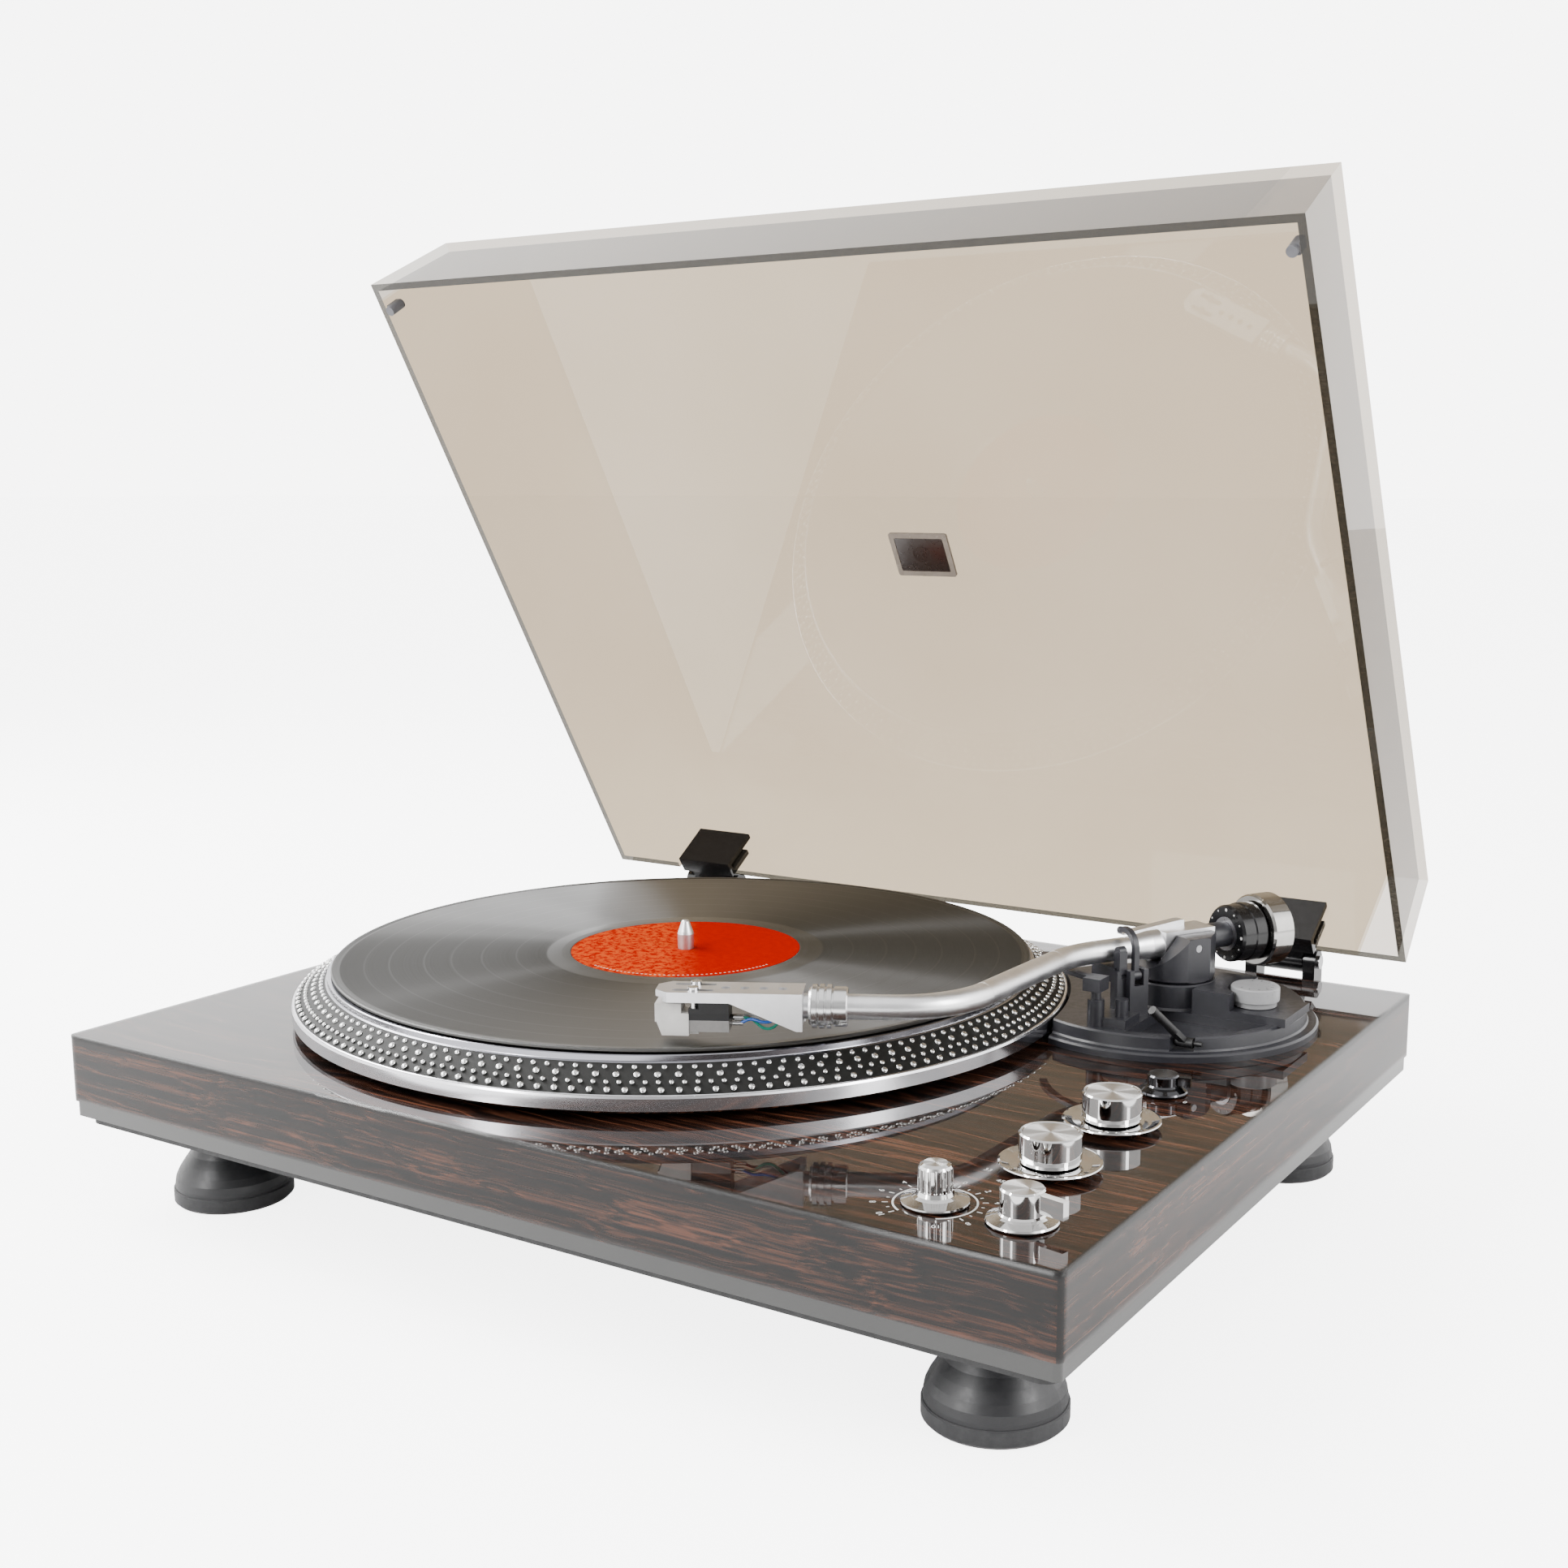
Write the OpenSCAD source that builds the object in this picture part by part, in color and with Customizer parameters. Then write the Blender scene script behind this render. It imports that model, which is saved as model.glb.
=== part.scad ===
// Turntable record player: lacquered plinth on four damped feet, belt driven
// platter with a record, S-shaped tonearm and a smoked lid on friction hinges.
// Millimetres, +Z up, origin under the middle of the whole outline.

/* [Plinth] */
// Width of the plinth
plinth_w = 450; // [400:1:480]
// Depth of the plinth
plinth_d = 355; // [330:1:380]
// Height of the veneered part above the base frame
plinth_h = 28; // [24:1:40]
// Thickness of the top board over the hollow
board_t = 16; // [12:1:20]
// Thickness of the plinth walls round the hollow
wall_t = 18; // [12:1:24]
// Height of the dark base frame
frame_h = 6.4; // [4:0.2:12]
// Thickness of the bottom panel
panel_t = 3.4; // [2:0.2:5]
// Height of each foot with its pad
foot_h = 36.5; // [20:0.5:45]
// Radius of the foot pads
foot_r = 24.3; // [18:0.1:30]

/* [Platter] */
// Distance of the spindle left of the plinth's middle
spindle_dx = 45.5; // [30:0.5:60]
// Outer radius of the platter
platter_r = 167.2; // [160:0.1:170]
// Height of the platter's polished band
band_h = 6; // [4:0.1:10]
// Height of the platter's top over the deck
platter_top = 20; // [16:0.1:26]
// Radius of the record
record_r = 150.8; // [150:0.1:151.5]
// Height of the record's upper face over the deck
record_top = 21.9; // [20:0.1:28]

/* [Controls] */
// Radius of the two large knobs
big_knob_r = 10.6; // [8:0.1:14]
// Height of the large knobs over the deck
big_knob_top = 13; // [10:0.1:18]
// Radius of the dished bezel under each large knob
bezel_r = 17.5; // [14:0.1:22]
// Radius of the fluted pitch knob
pitch_r = 5.5; // [4:0.1:8]
// Height of the pitch knob
pitch_top = 13.4; // [10:0.1:18]

/* [Tonearm] */
// Height of the arm's axis over the deck
arm_z = 34.2; // [30:0.1:38]
// Radius of the arm tube
tube_r = 4.7; // [3:0.1:5.5]
// Length of the tube's first straight run from its pivot to its first corner
run_rear = 57.3; // [50:0.1:65]
// Length of the tube's middle run between its two corners
run_mid = 93.5; // [85:0.1:100]
// Length of the tube's last run from its second corner to its end
run_front = 38; // [30:0.1:45]
// Radius of the arm's base flange
base_r = 64.2; // [55:0.1:70]
// Radius of the counterweight
weight_r = 15.4; // [10:0.1:15.6]

/* [Lid] */
// Width of the lid at its rim
lid_w = 443; // [400:1:450]
// Depth of the lid at its rim
lid_d = 347; // [320:1:355]
// Height of the lid
lid_h = 52; // [45:1:65]
// Wall thickness of the lid
lid_t = 3.2; // [2:0.1:5]
// Inward lean of the lid's walls over its height
lid_draft = 3.4; // [0:0.1:6]
// Opening angle of the lid
lid_open = 59.8; // [0:0.1:70]

/* [Part] */
// Sub-part to draw

/* [Hidden] */
$fn = 64;
EPS = 0.01;

// Heights
deck_z = foot_h + panel_t + frame_h + plinth_h;
hollow_z = -board_t;
frame_top = -plinth_h;
panel_top = frame_top - frame_h;
panel_low = panel_top - panel_t;
corner_r = 2.5;
frame_inset = 0.8;
panel_inset = 4;
half_w = plinth_w / 2;
half_d = plinth_d / 2;

// Lid hinge, behind the plinth's rear face
hinge_y = half_d + 11.2;
hinge_z = 5.8;
rim_gap = 1.5;
lid_back = half_d;
lid_mid = lid_back - lid_d / 2;
hinge_x = 162.5;
hinge_w = 33;
barrel_r = 5.5;
pin_r = 2;
fit = 0.05;

// Outline depth: the open lid's highest rear edge reaches furthest back
lid_low_y = lid_back - hinge_y;
lid_top_y = hinge_y + (lid_low_y - lid_draft) * cos(lid_open)
          + (rim_gap + lid_h - hinge_z) * sin(lid_open);
y_mid = (lid_top_y - half_d) / 2;

// Platter and drive
spin_x = -spindle_dx;
spin_y = 4.7;
band_low = 2.8;
band_top = band_low + band_h;
lip_r = 152.5;
lip_low = 17.6;
web_top = 16.6;
web_low = 12.6;
mat_r = 147;
ring_in = 94;
ring_out = 98;
drive_low = 4.4;
pulley_r = 9;
pulley_gap = 132;
motor_turn = 135;
shaft_r = 3.5;

// Deck controls, as [x, y]
pitch_at = [167.2, -149.3];
return_at = [197.7, -149.2];
speed_at = [184.8, -103.4];
mode_at = [184.7, -54];
cue_at = [185.4, -9.5];
pots = [pitch_at, return_at, speed_at, mode_at, cue_at];
knob_shaft_r = 2.95;
pot_bore_r = 3;

// Tonearm plan: heading angles of the three runs of tube
arm_x = 153;
arm_y = 86;
head_rear = -119.5;
head_mid = -91.6;
head_front = -151.8;
bend_1 = 50;
bend_2 = 40;
base_x = 146.2;
base_y = 83.4;
drum_r = 59.6;
flange_h = 3.2;
drum_top = 8.9;
floor_z = 4.6;
pedestal_top = 19.4;
yaw_low = 19.8;
yaw_top = 38.4;
yaw_r = 17;
slot_w = 14.4;
// Yaw axis, a little ahead of the arm frame's origin along the arm
yaw_a = 3.6;
yaw_x = arm_x + yaw_a * cos(head_rear);
yaw_y = arm_y + yaw_a * sin(head_rear);
skate_at = [187.5, 81];
lift_at = [139.4, 26.6];
rail_r = 57;
lever_at = [175.8, 35.2];
lever_z = 6.4;

// ---- helpers ----

// Everything on the deck is drawn from the middle of the plinth's top face
module deck() {
  translate([0, -y_mid, deck_z]) children();
}

// A box with rounded upright edges, centred in plan and standing on z0
module rbox(w, d, h, r, z0 = 0) {
  translate([0, 0, z0]) {
    translate([-w / 2 + r, -d / 2, 0]) cube([w - 2 * r, d, h]);
    translate([-w / 2, -d / 2 + r, 0]) cube([w, d - 2 * r, h]);
    for (sx = [-1, 1])
      for (sy = [-1, 1])
        translate([sx * (w / 2 - r), sy * (d / 2 - r), 0]) cylinder(r = r, h = h);
  }
}

module box(x0, x1, y0, y1, z0, z1) {
  translate([x0, y0, z0]) cube([x1 - x0, y1 - y0, z1 - z0]);
}

// Upright cylinder or ring, from z0 to z1
module post(r, z0, z1) {
  translate([0, 0, z0]) cylinder(r = r, h = z1 - z0);
}

module tube(r, bore, z0, z1) {
  difference() {
    post(r, z0, z1);
    post(bore, z0 - 1, z1 + 1);
  }
}

module at_spindle() {
  translate([spin_x, spin_y, 0]) children();
}

module at_motor() {
  at_spindle() rotate(motor_turn) translate([pulley_gap, 0, 0]) children();
}

// Arm frame: +X runs forward along the tube's first run, +Z is up
module arm_frame() {
  translate([arm_x, arm_y, arm_z]) rotate(head_rear) children();
}

// Tangent length of a bend of radius r turning by a
function tangent(r, a) = r * tan(a / 2);

// Middle run's frame at the first corner, then the front run's at the second
module mid_frame() {
  arm_frame() translate([run_rear, 0, 0]) rotate(head_mid - head_rear) children();
}

module front_frame() {
  mid_frame() translate([run_mid, 0, 0]) rotate(head_front - head_mid) children();
}

// Headshell frame: +X runs forward from the end of the tube
module shell_frame() {
  front_frame() translate([run_front, 0, 0]) children();
}

module rod_x(r, x0, x1) {
  translate([x0, 0, 0]) rotate([0, 90, 0]) cylinder(r = r, h = x1 - x0);
}

module ring_x(r, bore, x0, x1) {
  difference() {
    rod_x(r, x0, x1);
    rod_x(bore, x0 - 1, x1 + 1);
  }
}

// A turned piece along +X: profile points are [x, radius]
module turned_x(profile) {
  rotate([0, 90, 0]) rotate_extrude() polygon([for (p = profile) [p[1], p[0]]]);
}

// The lid's frame: its children are drawn as if it were shut
module lid_frame() {
  translate([0, hinge_y, hinge_z]) rotate([-lid_open, 0, 0])
    translate([0, -hinge_y, -hinge_z]) children();
}

// A box whose four walls lean inward by dr over its height
module drafted(w, d, h, dr) {
  intersection() {
    translate([0, d / 2, 0]) rotate([90, 0, 0]) linear_extrude(d)
      polygon([[-w / 2, 0], [w / 2, 0], [w / 2 - dr, h], [-w / 2 + dr, h]]);
    translate([-w / 2, 0, 0]) rotate([90, 0, 90]) linear_extrude(w)
      polygon([[-d / 2, 0], [d / 2, 0], [d / 2 - dr, h], [-d / 2 + dr, h]]);
  }
}

// ---- case ----

back_open_w = 150;
back_open_x = -95;
back_open_low = frame_top + 1.5;
back_open_high = -6.5;

module plinth_body() {
  color([0.24, 0.10, 0.06]) deck() difference() {
    rbox(plinth_w, plinth_d, plinth_h, corner_r, frame_top);
    box(-half_w + wall_t, half_w - wall_t, -half_d + wall_t, half_d - wall_t,
        frame_top - 1, hollow_z);
    at_spindle() post(13, hollow_z - 1, 1);
    at_motor() post(motor_r + 2, hollow_z - 1, 1);
    translate([base_x, base_y, 0]) post(46, hollow_z - 1, 1);
    for (p = pots)
      translate([p[0], p[1], 0]) post(4.6, hollow_z - 1, 1);
    at_motor() motor_screw_spots() post(1.6, -9, 1);
    at_spindle() bearing_screw_spots() post(1.6, -12, 1);
    box(back_open_x - back_open_w / 2, back_open_x + back_open_w / 2,
        half_d - wall_t - 1, half_d + 1, back_open_low, back_open_high);
  }
}

module base_frame() {
  color([0.07, 0.065, 0.065]) deck() difference() {
    rbox(plinth_w - 2 * frame_inset, plinth_d - 2 * frame_inset, frame_h, corner_r, panel_top);
    box(-half_w + wall_t, half_w - wall_t, -half_d + wall_t, half_d - wall_t,
        panel_top - 1, frame_top + 1);
    for (p = screw_spots)
      translate([p[0], p[1], 0]) post(panel_screw_r, panel_top - 1, panel_top + 5);
  }
}

foot_x = 181.5;
foot_y = 134;
screw_spots = [[0, -half_d + 12], [0, half_d - 12], [-half_w + 12, 0], [half_w - 12, 0],
               [-110, -half_d + 12], [110, -half_d + 12], [-110, half_d - 12],
               [110, half_d - 12]];
panel_hole_r = 1.8;
panel_screw_r = 1.7;
panel_screw_head = 3.4;

module foot_spots() {
  for (sx = [-1, 1])
    for (sy = [-1, 1])
      translate([sx * foot_x, sy * foot_y, 0]) children();
}

module base_panel() {
  color([0.05, 0.05, 0.05]) deck() difference() {
    rbox(plinth_w - 2 * panel_inset, plinth_d - 2 * panel_inset, panel_t, 6, panel_low);
    for (p = screw_spots)
      translate([p[0], p[1], 0]) post(panel_hole_r, panel_low - 1, panel_top + 1);
    foot_spots() post(3.2, panel_low - 1, panel_top + 1);
  }
}

pad_h = 6.5;
foot_top_r = 12.5;

module feet() {
  color([0.075, 0.075, 0.08]) deck() foot_spots() rotate_extrude()
    polygon([[0, panel_low], [0, panel_low - foot_h + 3], [19, panel_low - foot_h + 3],
             [19, panel_low - foot_h + pad_h], [foot_r - 0.7, panel_low - foot_h + pad_h],
             [foot_r - 0.7, panel_low - foot_h + pad_h + 1.6],
             [foot_r - 1.2, panel_low - foot_h + 11],
             [foot_r - 2.6, panel_low - foot_h + 14],
             [foot_r - 4.8, panel_low - foot_h + 17.4],
             [foot_r - 7.2, panel_low - foot_h + 20.8],
             [foot_r - 9.2, panel_low - foot_h + 24.6],
             [foot_r - 10.6, panel_low - foot_h + 28.6],
             [foot_top_r, panel_low - foot_h + 33], [foot_top_r, panel_low]]);
}

module foot_pads() {
  color([0.11, 0.11, 0.115]) deck() foot_spots() rotate_extrude()
    polygon([[19, panel_low - foot_h], [foot_r - 1.2, panel_low - foot_h],
             [foot_r, panel_low - foot_h + 1.2], [foot_r, panel_low - foot_h + pad_h - 0.5],
             [foot_r - 0.5, panel_low - foot_h + pad_h], [19, panel_low - foot_h + pad_h]]);
}

module panel_screws() {
  color([0.3, 0.3, 0.32]) deck() for (p = screw_spots)
    translate([p[0], p[1], 0]) difference() {
      union() {
        post(panel_screw_r, panel_low, panel_top + 5);
        post(panel_screw_head, panel_low - 1.6, panel_low);
      }
      box(-2, 2, -0.35, 0.35, panel_low - 2, panel_low - 0.8);
      box(-0.35, 0.35, -2, 2, panel_low - 2, panel_low - 0.8);
    }
}

// ---- rear terminals ----

plate_t = 2;
plate_y = half_d - 4;
rear_z = -17;
jack_x = [-136, -120];
ground_x = -102;
switch_x = -84;
inlet_x = -56;
rocker_x = -34;

// Its children run from the plate's outer face towards +Y (drawn along +Z)
module rear_at(x) {
  translate([x, plate_y, rear_z]) rotate([-90, 0, 0]) children();
}

module rear_panel() {
  color([0.09, 0.09, 0.095]) deck() difference() {
    box(back_open_x - back_open_w / 2, back_open_x + back_open_w / 2,
        plate_y - plate_t, plate_y, back_open_low, back_open_high);
    for (x = jack_x)
      rear_at(x) post(4, -3, 1);
    rear_at(ground_x) post(2.1, -3, 1);
    rear_at(inlet_x) post(4.1, -3, 1);
    box(switch_x - 4.5, switch_x + 4.5, plate_y - 3, plate_y + 1, rear_z - 1.5, rear_z + 1.5);
    box(rocker_x - 6.5, rocker_x + 6.5, plate_y - 3, plate_y + 1, rear_z - 5, rear_z + 5);
    translate([rocker_x, plate_y - 1, rear_z]) rod_x(0.65, -8, 8);
  }
}

module rca_jacks() {
  color([0.82, 0.66, 0.28]) deck() for (x = jack_x)
    rear_at(x) difference() {
      union() {
        post(4, -8, 0);
        post(5.4, 0, 1.2);
        post(4.15, 1.2, 10);
      }
      post(3.1, 2, 11);
      post(1.6, -2, 3);
    }
}

module ground_post() {
  color([0.75, 0.76, 0.78]) deck() rear_at(ground_x) {
    post(2, -7, 10);
    post(4.2, 0, 1);
  }
}

module ground_nut() {
  color([0.8, 0.81, 0.83]) deck() rear_at(ground_x) difference() {
    tube(4.6, 2 + fit, 3, 8.4);
    for (i = [0:15])
      rotate(i * 360 / 16) translate([4.75, 0, 4.2]) cylinder(r = 0.42, h = 5, $fn = 16);
  }
}

module power_inlet() {
  color([0.04, 0.04, 0.045]) deck() rear_at(inlet_x) difference() {
    union() {
      post(4.1, -12, 0);
      post(5.6, 0, 1.4);
    }
    post(2.8, -9, 2);
    translate([0, 0, -9.5]) cylinder(r = 1, h = 1);
  }
}

module power_rocker() {
  color([0.05, 0.05, 0.055]) deck() translate([rocker_x, plate_y - 1, rear_z]) {
    difference() {
      rod_x(4.6, -5.9, 5.9);
      box(-7, 7, 1.9, 6, -6, 0.8);
    }
    rod_x(0.6, -7.8, 7.8);
  }
}

module output_switch() {
  color([0.05, 0.05, 0.055]) deck() translate([switch_x, plate_y, rear_z]) {
    box(-3.5, -0.5, -4, 2.6, -1.2, 1.2);
    box(-8.6, 4.6, -4.4, -2.6, -2.6, 2.6);
  }
}

// ---- main bearing, platter and record ----

bearing_r = 12.5;

module bearing_screw_spots() {
  for (a = [30, 150, 270])
    rotate(a) translate([20, 0, 0]) children();
}

module bearing_housing() {
  color([0.55, 0.56, 0.58]) deck() at_spindle() difference() {
    union() {
      post(bearing_r, -26, 0);
      post(26, 0, 2.4);
      post(9, 2.4, 9);
    }
    post(shaft_r + fit, -23, 10);
    bearing_screw_spots() post(1.7, -1, 4);
  }
}

module spindle_shaft() {
  color([0.82, 0.83, 0.85]) deck() at_spindle() {
    post(shaft_r, -22.9, 10);
    rotate_extrude()
      polygon([[0, 10], [3.57, 10], [3.57, record_top + 6.4], [3.3, record_top + 7.5],
               [1.7, record_top + 12], [1.2, record_top + 12.5], [0, record_top + 12.7]]);
  }
}

hub_r = 22;

module platter() {
  color([0.72, 0.73, 0.75]) deck() at_spindle() difference() {
    rotate_extrude() polygon([
      [0, 10.2], [hub_r, 10.2], [hub_r, web_low], [ring_in, web_low], [ring_in, drive_low],
      [ring_out, drive_low], [ring_out, web_low], [platter_r - 14, web_low],
      [platter_r - 8, band_low], [platter_r - 0.8, band_low], [platter_r, band_low + 0.8],
      [platter_r, band_top - 0.5], [platter_r - 0.4, band_top + 0.3], [platter_r - 0.9, band_top + 0.3],
      [lip_r + 0.1, lip_low], [lip_r, lip_low + 0.2], [lip_r, platter_top - 0.3],
      [lip_r - 0.4, platter_top], [mat_r + 0.6, platter_top], [mat_r + 0.6, web_top],
      [hub_r + 30, web_top], [hub_r + 30, web_top - 1.2], [0, web_top - 1.2]]);
    post(3.6, 9, 20);
    for (a = [motor_turn, motor_turn + 180])
      rotate(a) translate([120, 0, 8]) cylinder(r = 12, h = 12);
  }
}

module platter_mat() {
  color([0.045, 0.045, 0.045]) deck() at_spindle() rotate_extrude()
    polygon([[3.8, web_top], [mat_r, web_top], [mat_r, record_top - 2.2],
             [mat_r - 1, record_top - 1.7], [54, record_top - 1.7], [52, record_top - 2.4],
             [3.8, record_top - 2.4]]);
}

module record() {
  color([0.03, 0.03, 0.032]) deck() at_spindle() rotate_extrude()
    polygon([[3.62, record_top - 1.66], [53, record_top - 1.66], [54, record_top - 1.66],
             [record_r - 2.6, record_top - 1.66], [record_r - 0.5, record_top - 1.7],
             [record_r, record_top - 1.2], [record_r, record_top - 0.5],
             [record_r - 0.5, record_top - 0.02], [record_r - 1.3, record_top - 0.02],
             [record_r - 2.6, record_top - 0.4], [62, record_top - 0.4],
             [54, record_top - 0.1], [50.4, record_top - 0.1], [50.1, record_top - 0.25],
             [3.62, record_top - 0.25]]);
}

module record_label() {
  color([0.85, 0.08, 0.05]) deck() at_spindle() tube(50, 3.8, record_top - 0.25, record_top - 0.1);
}

// ---- motor and belt ----

motor_r = 26;
motor_plate_r = 34;
motor_screw_r = 30.8;

module motor_screw_spots() {
  for (a = [60, 180, 300])
    rotate(a) translate([motor_screw_r, 0, 0]) children();
}

module motor_body() {
  color([0.5, 0.51, 0.53]) deck() at_motor() difference() {
    union() {
      post(motor_r, -24, 0.6);
      post(motor_plate_r, 0, 1.6);
      post(6, 1.6, 3.2);
    }
    post(1.05, -20, 4);
    motor_screw_spots() post(1.7, -1, 3);
  }
}

// One slotted screw: shank down to low, head standing on the face at top
module slotted_screw(low, top, head_r) {
  difference() {
    union() {
      post(1.6, low, top);
      post(head_r, top, top + 1.3);
    }
    box(-head_r, head_r, -0.3, 0.3, top + 0.6, top + 2);
  }
}

module drive_screws() {
  color([0.7, 0.7, 0.72]) deck() {
    at_motor() motor_screw_spots() slotted_screw(-9, 1.6, 2.9);
    at_spindle() bearing_screw_spots() slotted_screw(-12, 2.4, 2.9);
  }
}

module motor_pulley() {
  color([0.8, 0.67, 0.35]) deck() at_motor() {
    post(1, -19, 4);
    rotate_extrude() polygon([[0, 4], [10, 4], [10, 4.8], [pulley_r, 5.2], [pulley_r, 10.8],
                              [10, 11.2], [10, 12], [0, 12]]);
  }
}

belt_gap = 0.36;
belt_t = 0.5;
belt_low = 5.5;
belt_h = 5;
belt_big = ring_out + belt_gap;
belt_small = pulley_r + belt_gap;
belt_lean = asin((belt_big - belt_small) / pulley_gap);
belt_steps = 90;

// Outline of a loop round the drive ring and the pulley, grown by t
function belt_loop(t) = concat(
  [for (i = [0:belt_steps])
    let (a = 90 - belt_lean + i / belt_steps * (180 + 2 * belt_lean))
      [(belt_big + t) * cos(a), (belt_big + t) * sin(a)]],
  [for (i = [0:belt_steps / 3])
    let (a = belt_lean - 90 + i / (belt_steps / 3) * (180 - 2 * belt_lean))
      [pulley_gap + (belt_small + t) * cos(a), (belt_small + t) * sin(a)]]);

// Flat belt: an arc round each end and two straight runs
module drive_belt() {
  color([0.03, 0.03, 0.03]) deck() at_spindle() rotate(motor_turn) translate([0, 0, belt_low])
    difference() {
      linear_extrude(belt_h) polygon(belt_loop(belt_t));
      translate([0, 0, -1]) linear_extrude(belt_h + 2) polygon(belt_loop(0));
    }
}

// ---- electronics and controls ----

module control_board() {
  color([0.06, 0.25, 0.12]) deck() {
    box(60, 140, -130, -30, -32.4, -30.8);
    for (x = [64, 136])
      for (y = [-126, -34])
        translate([x, y, 0]) post(3, panel_top, -32.4);
    box(70, 90, -110, -95, -30.8, -26);
    box(100, 128, -80, -60, -30.8, -22);
    for (i = [0:3])
      translate([72 + i * 14, -48, 0]) post(4, -30.8, -20);
  }
}

pot_low = -29;

module control_pots() {
  color([0.42, 0.43, 0.45]) deck() for (p = pots)
    translate([p[0], p[1], 0]) difference() {
      union() {
        post(8.4, pot_low, hollow_z);
        post(4.5, hollow_z, -0.8);
      }
      post(pot_bore_r, pot_low + 2, 1);
    }
}

// The shaft under each knob, down into its pot
module knob_shaft(z1) {
  post(knob_shaft_r, pot_low + 2.2, z1);
}

module pitch_knob() {
  color([0.86, 0.86, 0.88]) deck() translate([pitch_at[0], pitch_at[1], 0]) {
    difference() {
      rotate_extrude() polygon([[0, 0.4], [10.9, 0.4], [11.1, 0.8], [11, 1.3], [7.4, 2.4],
                                [6.2, 3.1], [pitch_r + 0.35, 4], [pitch_r + 0.2, 4.4],
                                [pitch_r, pitch_top - 1.6], [pitch_r - 0.5, pitch_top - 0.7],
                                [pitch_r - 1.6, pitch_top], [0, pitch_top]]);
      for (i = [0:17])
        rotate(i * 20) translate([pitch_r + 0.42, 0, 4.6]) cylinder(r = 0.62, h = 9, $fn = 16);
    }
    knob_shaft(1);
  }
}

// Large spun knob with a thin waist at its foot
module big_knob(spot) {
  translate([spot[0], spot[1], 0]) {
    rotate_extrude() polygon([[0, 2.9], [big_knob_r - 0.6, 2.9], [big_knob_r - 0.6, 3.9],
                              [big_knob_r, 4.2], [big_knob_r, big_knob_top - 0.5],
                              [big_knob_r - 0.5, big_knob_top], [big_knob_r - 1.2, big_knob_top],
                              [big_knob_r - 1.5, big_knob_top - 0.25], [0, big_knob_top - 0.25]]);
    knob_shaft(4);
  }
}

// Dished bezel: thin raised rim, hollow towards the knob
module bezel(spot) {
  translate([spot[0], spot[1], 0]) rotate_extrude()
    polygon([[4.9, 0], [13.2, 0], [bezel_r - 0.5, 2.2], [bezel_r, 2.7], [bezel_r - 0.2, 3.1],
             [bezel_r - 0.9, 3.2], [14, 2.55], [11.4, 2.35], [4.9, 2.35]]);
}

module speed_knob() {
  color([0.85, 0.85, 0.87]) deck() big_knob(speed_at);
}

module speed_bezel() {
  color([0.88, 0.88, 0.9]) deck() bezel(speed_at);
}

module mode_knob() {
  color([0.85, 0.85, 0.87]) deck() big_knob(mode_at);
}

module mode_bezel() {
  color([0.88, 0.88, 0.9]) deck() bezel(mode_at);
}

// Knob with a flange and a pointer bar: body radius r, height top, bar to reach
module lever_knob(spot, r, top, flange, reach, turn) {
  translate([spot[0], spot[1], 0]) {
    rotate_extrude() polygon([[0, 0.4], [flange - 0.2, 0.4], [flange, 0.9], [flange - 0.3, 1.5],
                              [r + 1.5, 2.5], [r + 0.5, 3], [r, 3.6], [r, top - 0.6],
                              [r - 0.5, top], [0, top]]);
    rotate(turn) box(0, reach, -1.4, 1.4, top * 0.45, top - 0.5);
    knob_shaft(2);
  }
}

module return_knob() {
  color([0.85, 0.85, 0.87]) deck() lever_knob(return_at, 7.1, 11.4, 11.6, 16.4, -11);
}

module cue_knob() {
  color([0.83, 0.83, 0.86]) deck() lever_knob(cue_at, 5.9, 7.4, 9.2, 10.4, 10);
}

// ---- tonearm base ----

module arm_base() {
  color([0.16, 0.16, 0.17]) deck() difference() {
    union() {
      translate([base_x, base_y, 0]) {
        rotate_extrude() polygon([[0, -14], [45, -14], [45, 0], [base_r, 0], [base_r, flange_h - 0.8],
                                  [base_r - 0.8, flange_h], [drum_r + 0.6, flange_h],
                                  [drum_r, flange_h + 0.8], [drum_r - 0.4, drum_top - 0.7],
                                  [drum_r - 1.1, drum_top], [0, drum_top]]);
      }
      // lift column's foot and block
      box(138.5, 152.5, 30, 44, floor_z, 12.6);
      translate([lift_at[0], lift_at[1] + 4, 0]) post(3.4, floor_z, 19.8);
      translate([lift_at[0] + 9, lift_at[1] + 9, 0]) post(2.7, floor_z, 19.8);
    }
    // sunk floor in front of the pedestal
    intersection() {
      translate([base_x, base_y, 0]) post(54.5, floor_z, 30);
      box(153.2, 215, 20, 66, floor_z, 30);
    }
    // room for the platter
    at_spindle() post(platter_r + 1.2, -0.1, 30);
    // arm's yaw shaft
    translate([yaw_x, yaw_y, 0]) post(8.5, -15, drum_top + 1);
    // lever slot through the front wall, and its pin's bore
    box(lever_at[0] - 4.2, lever_at[0] + 4.2, 15, lever_at[1] + 9, flange_h + 0.2, 20);
    translate([lever_at[0], lever_at[1], lever_z]) rod_x(1.05, -7.4, 7.4);
    // lift rod's bore
    translate([lift_at[0], lift_at[1] + 4, 0]) post(2.05, 2, 40);
    // anti-skate shaft
    translate([skate_at[0], skate_at[1], 0]) post(4, -15, 30);
  }
}

skate_low = 12.4;

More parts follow.
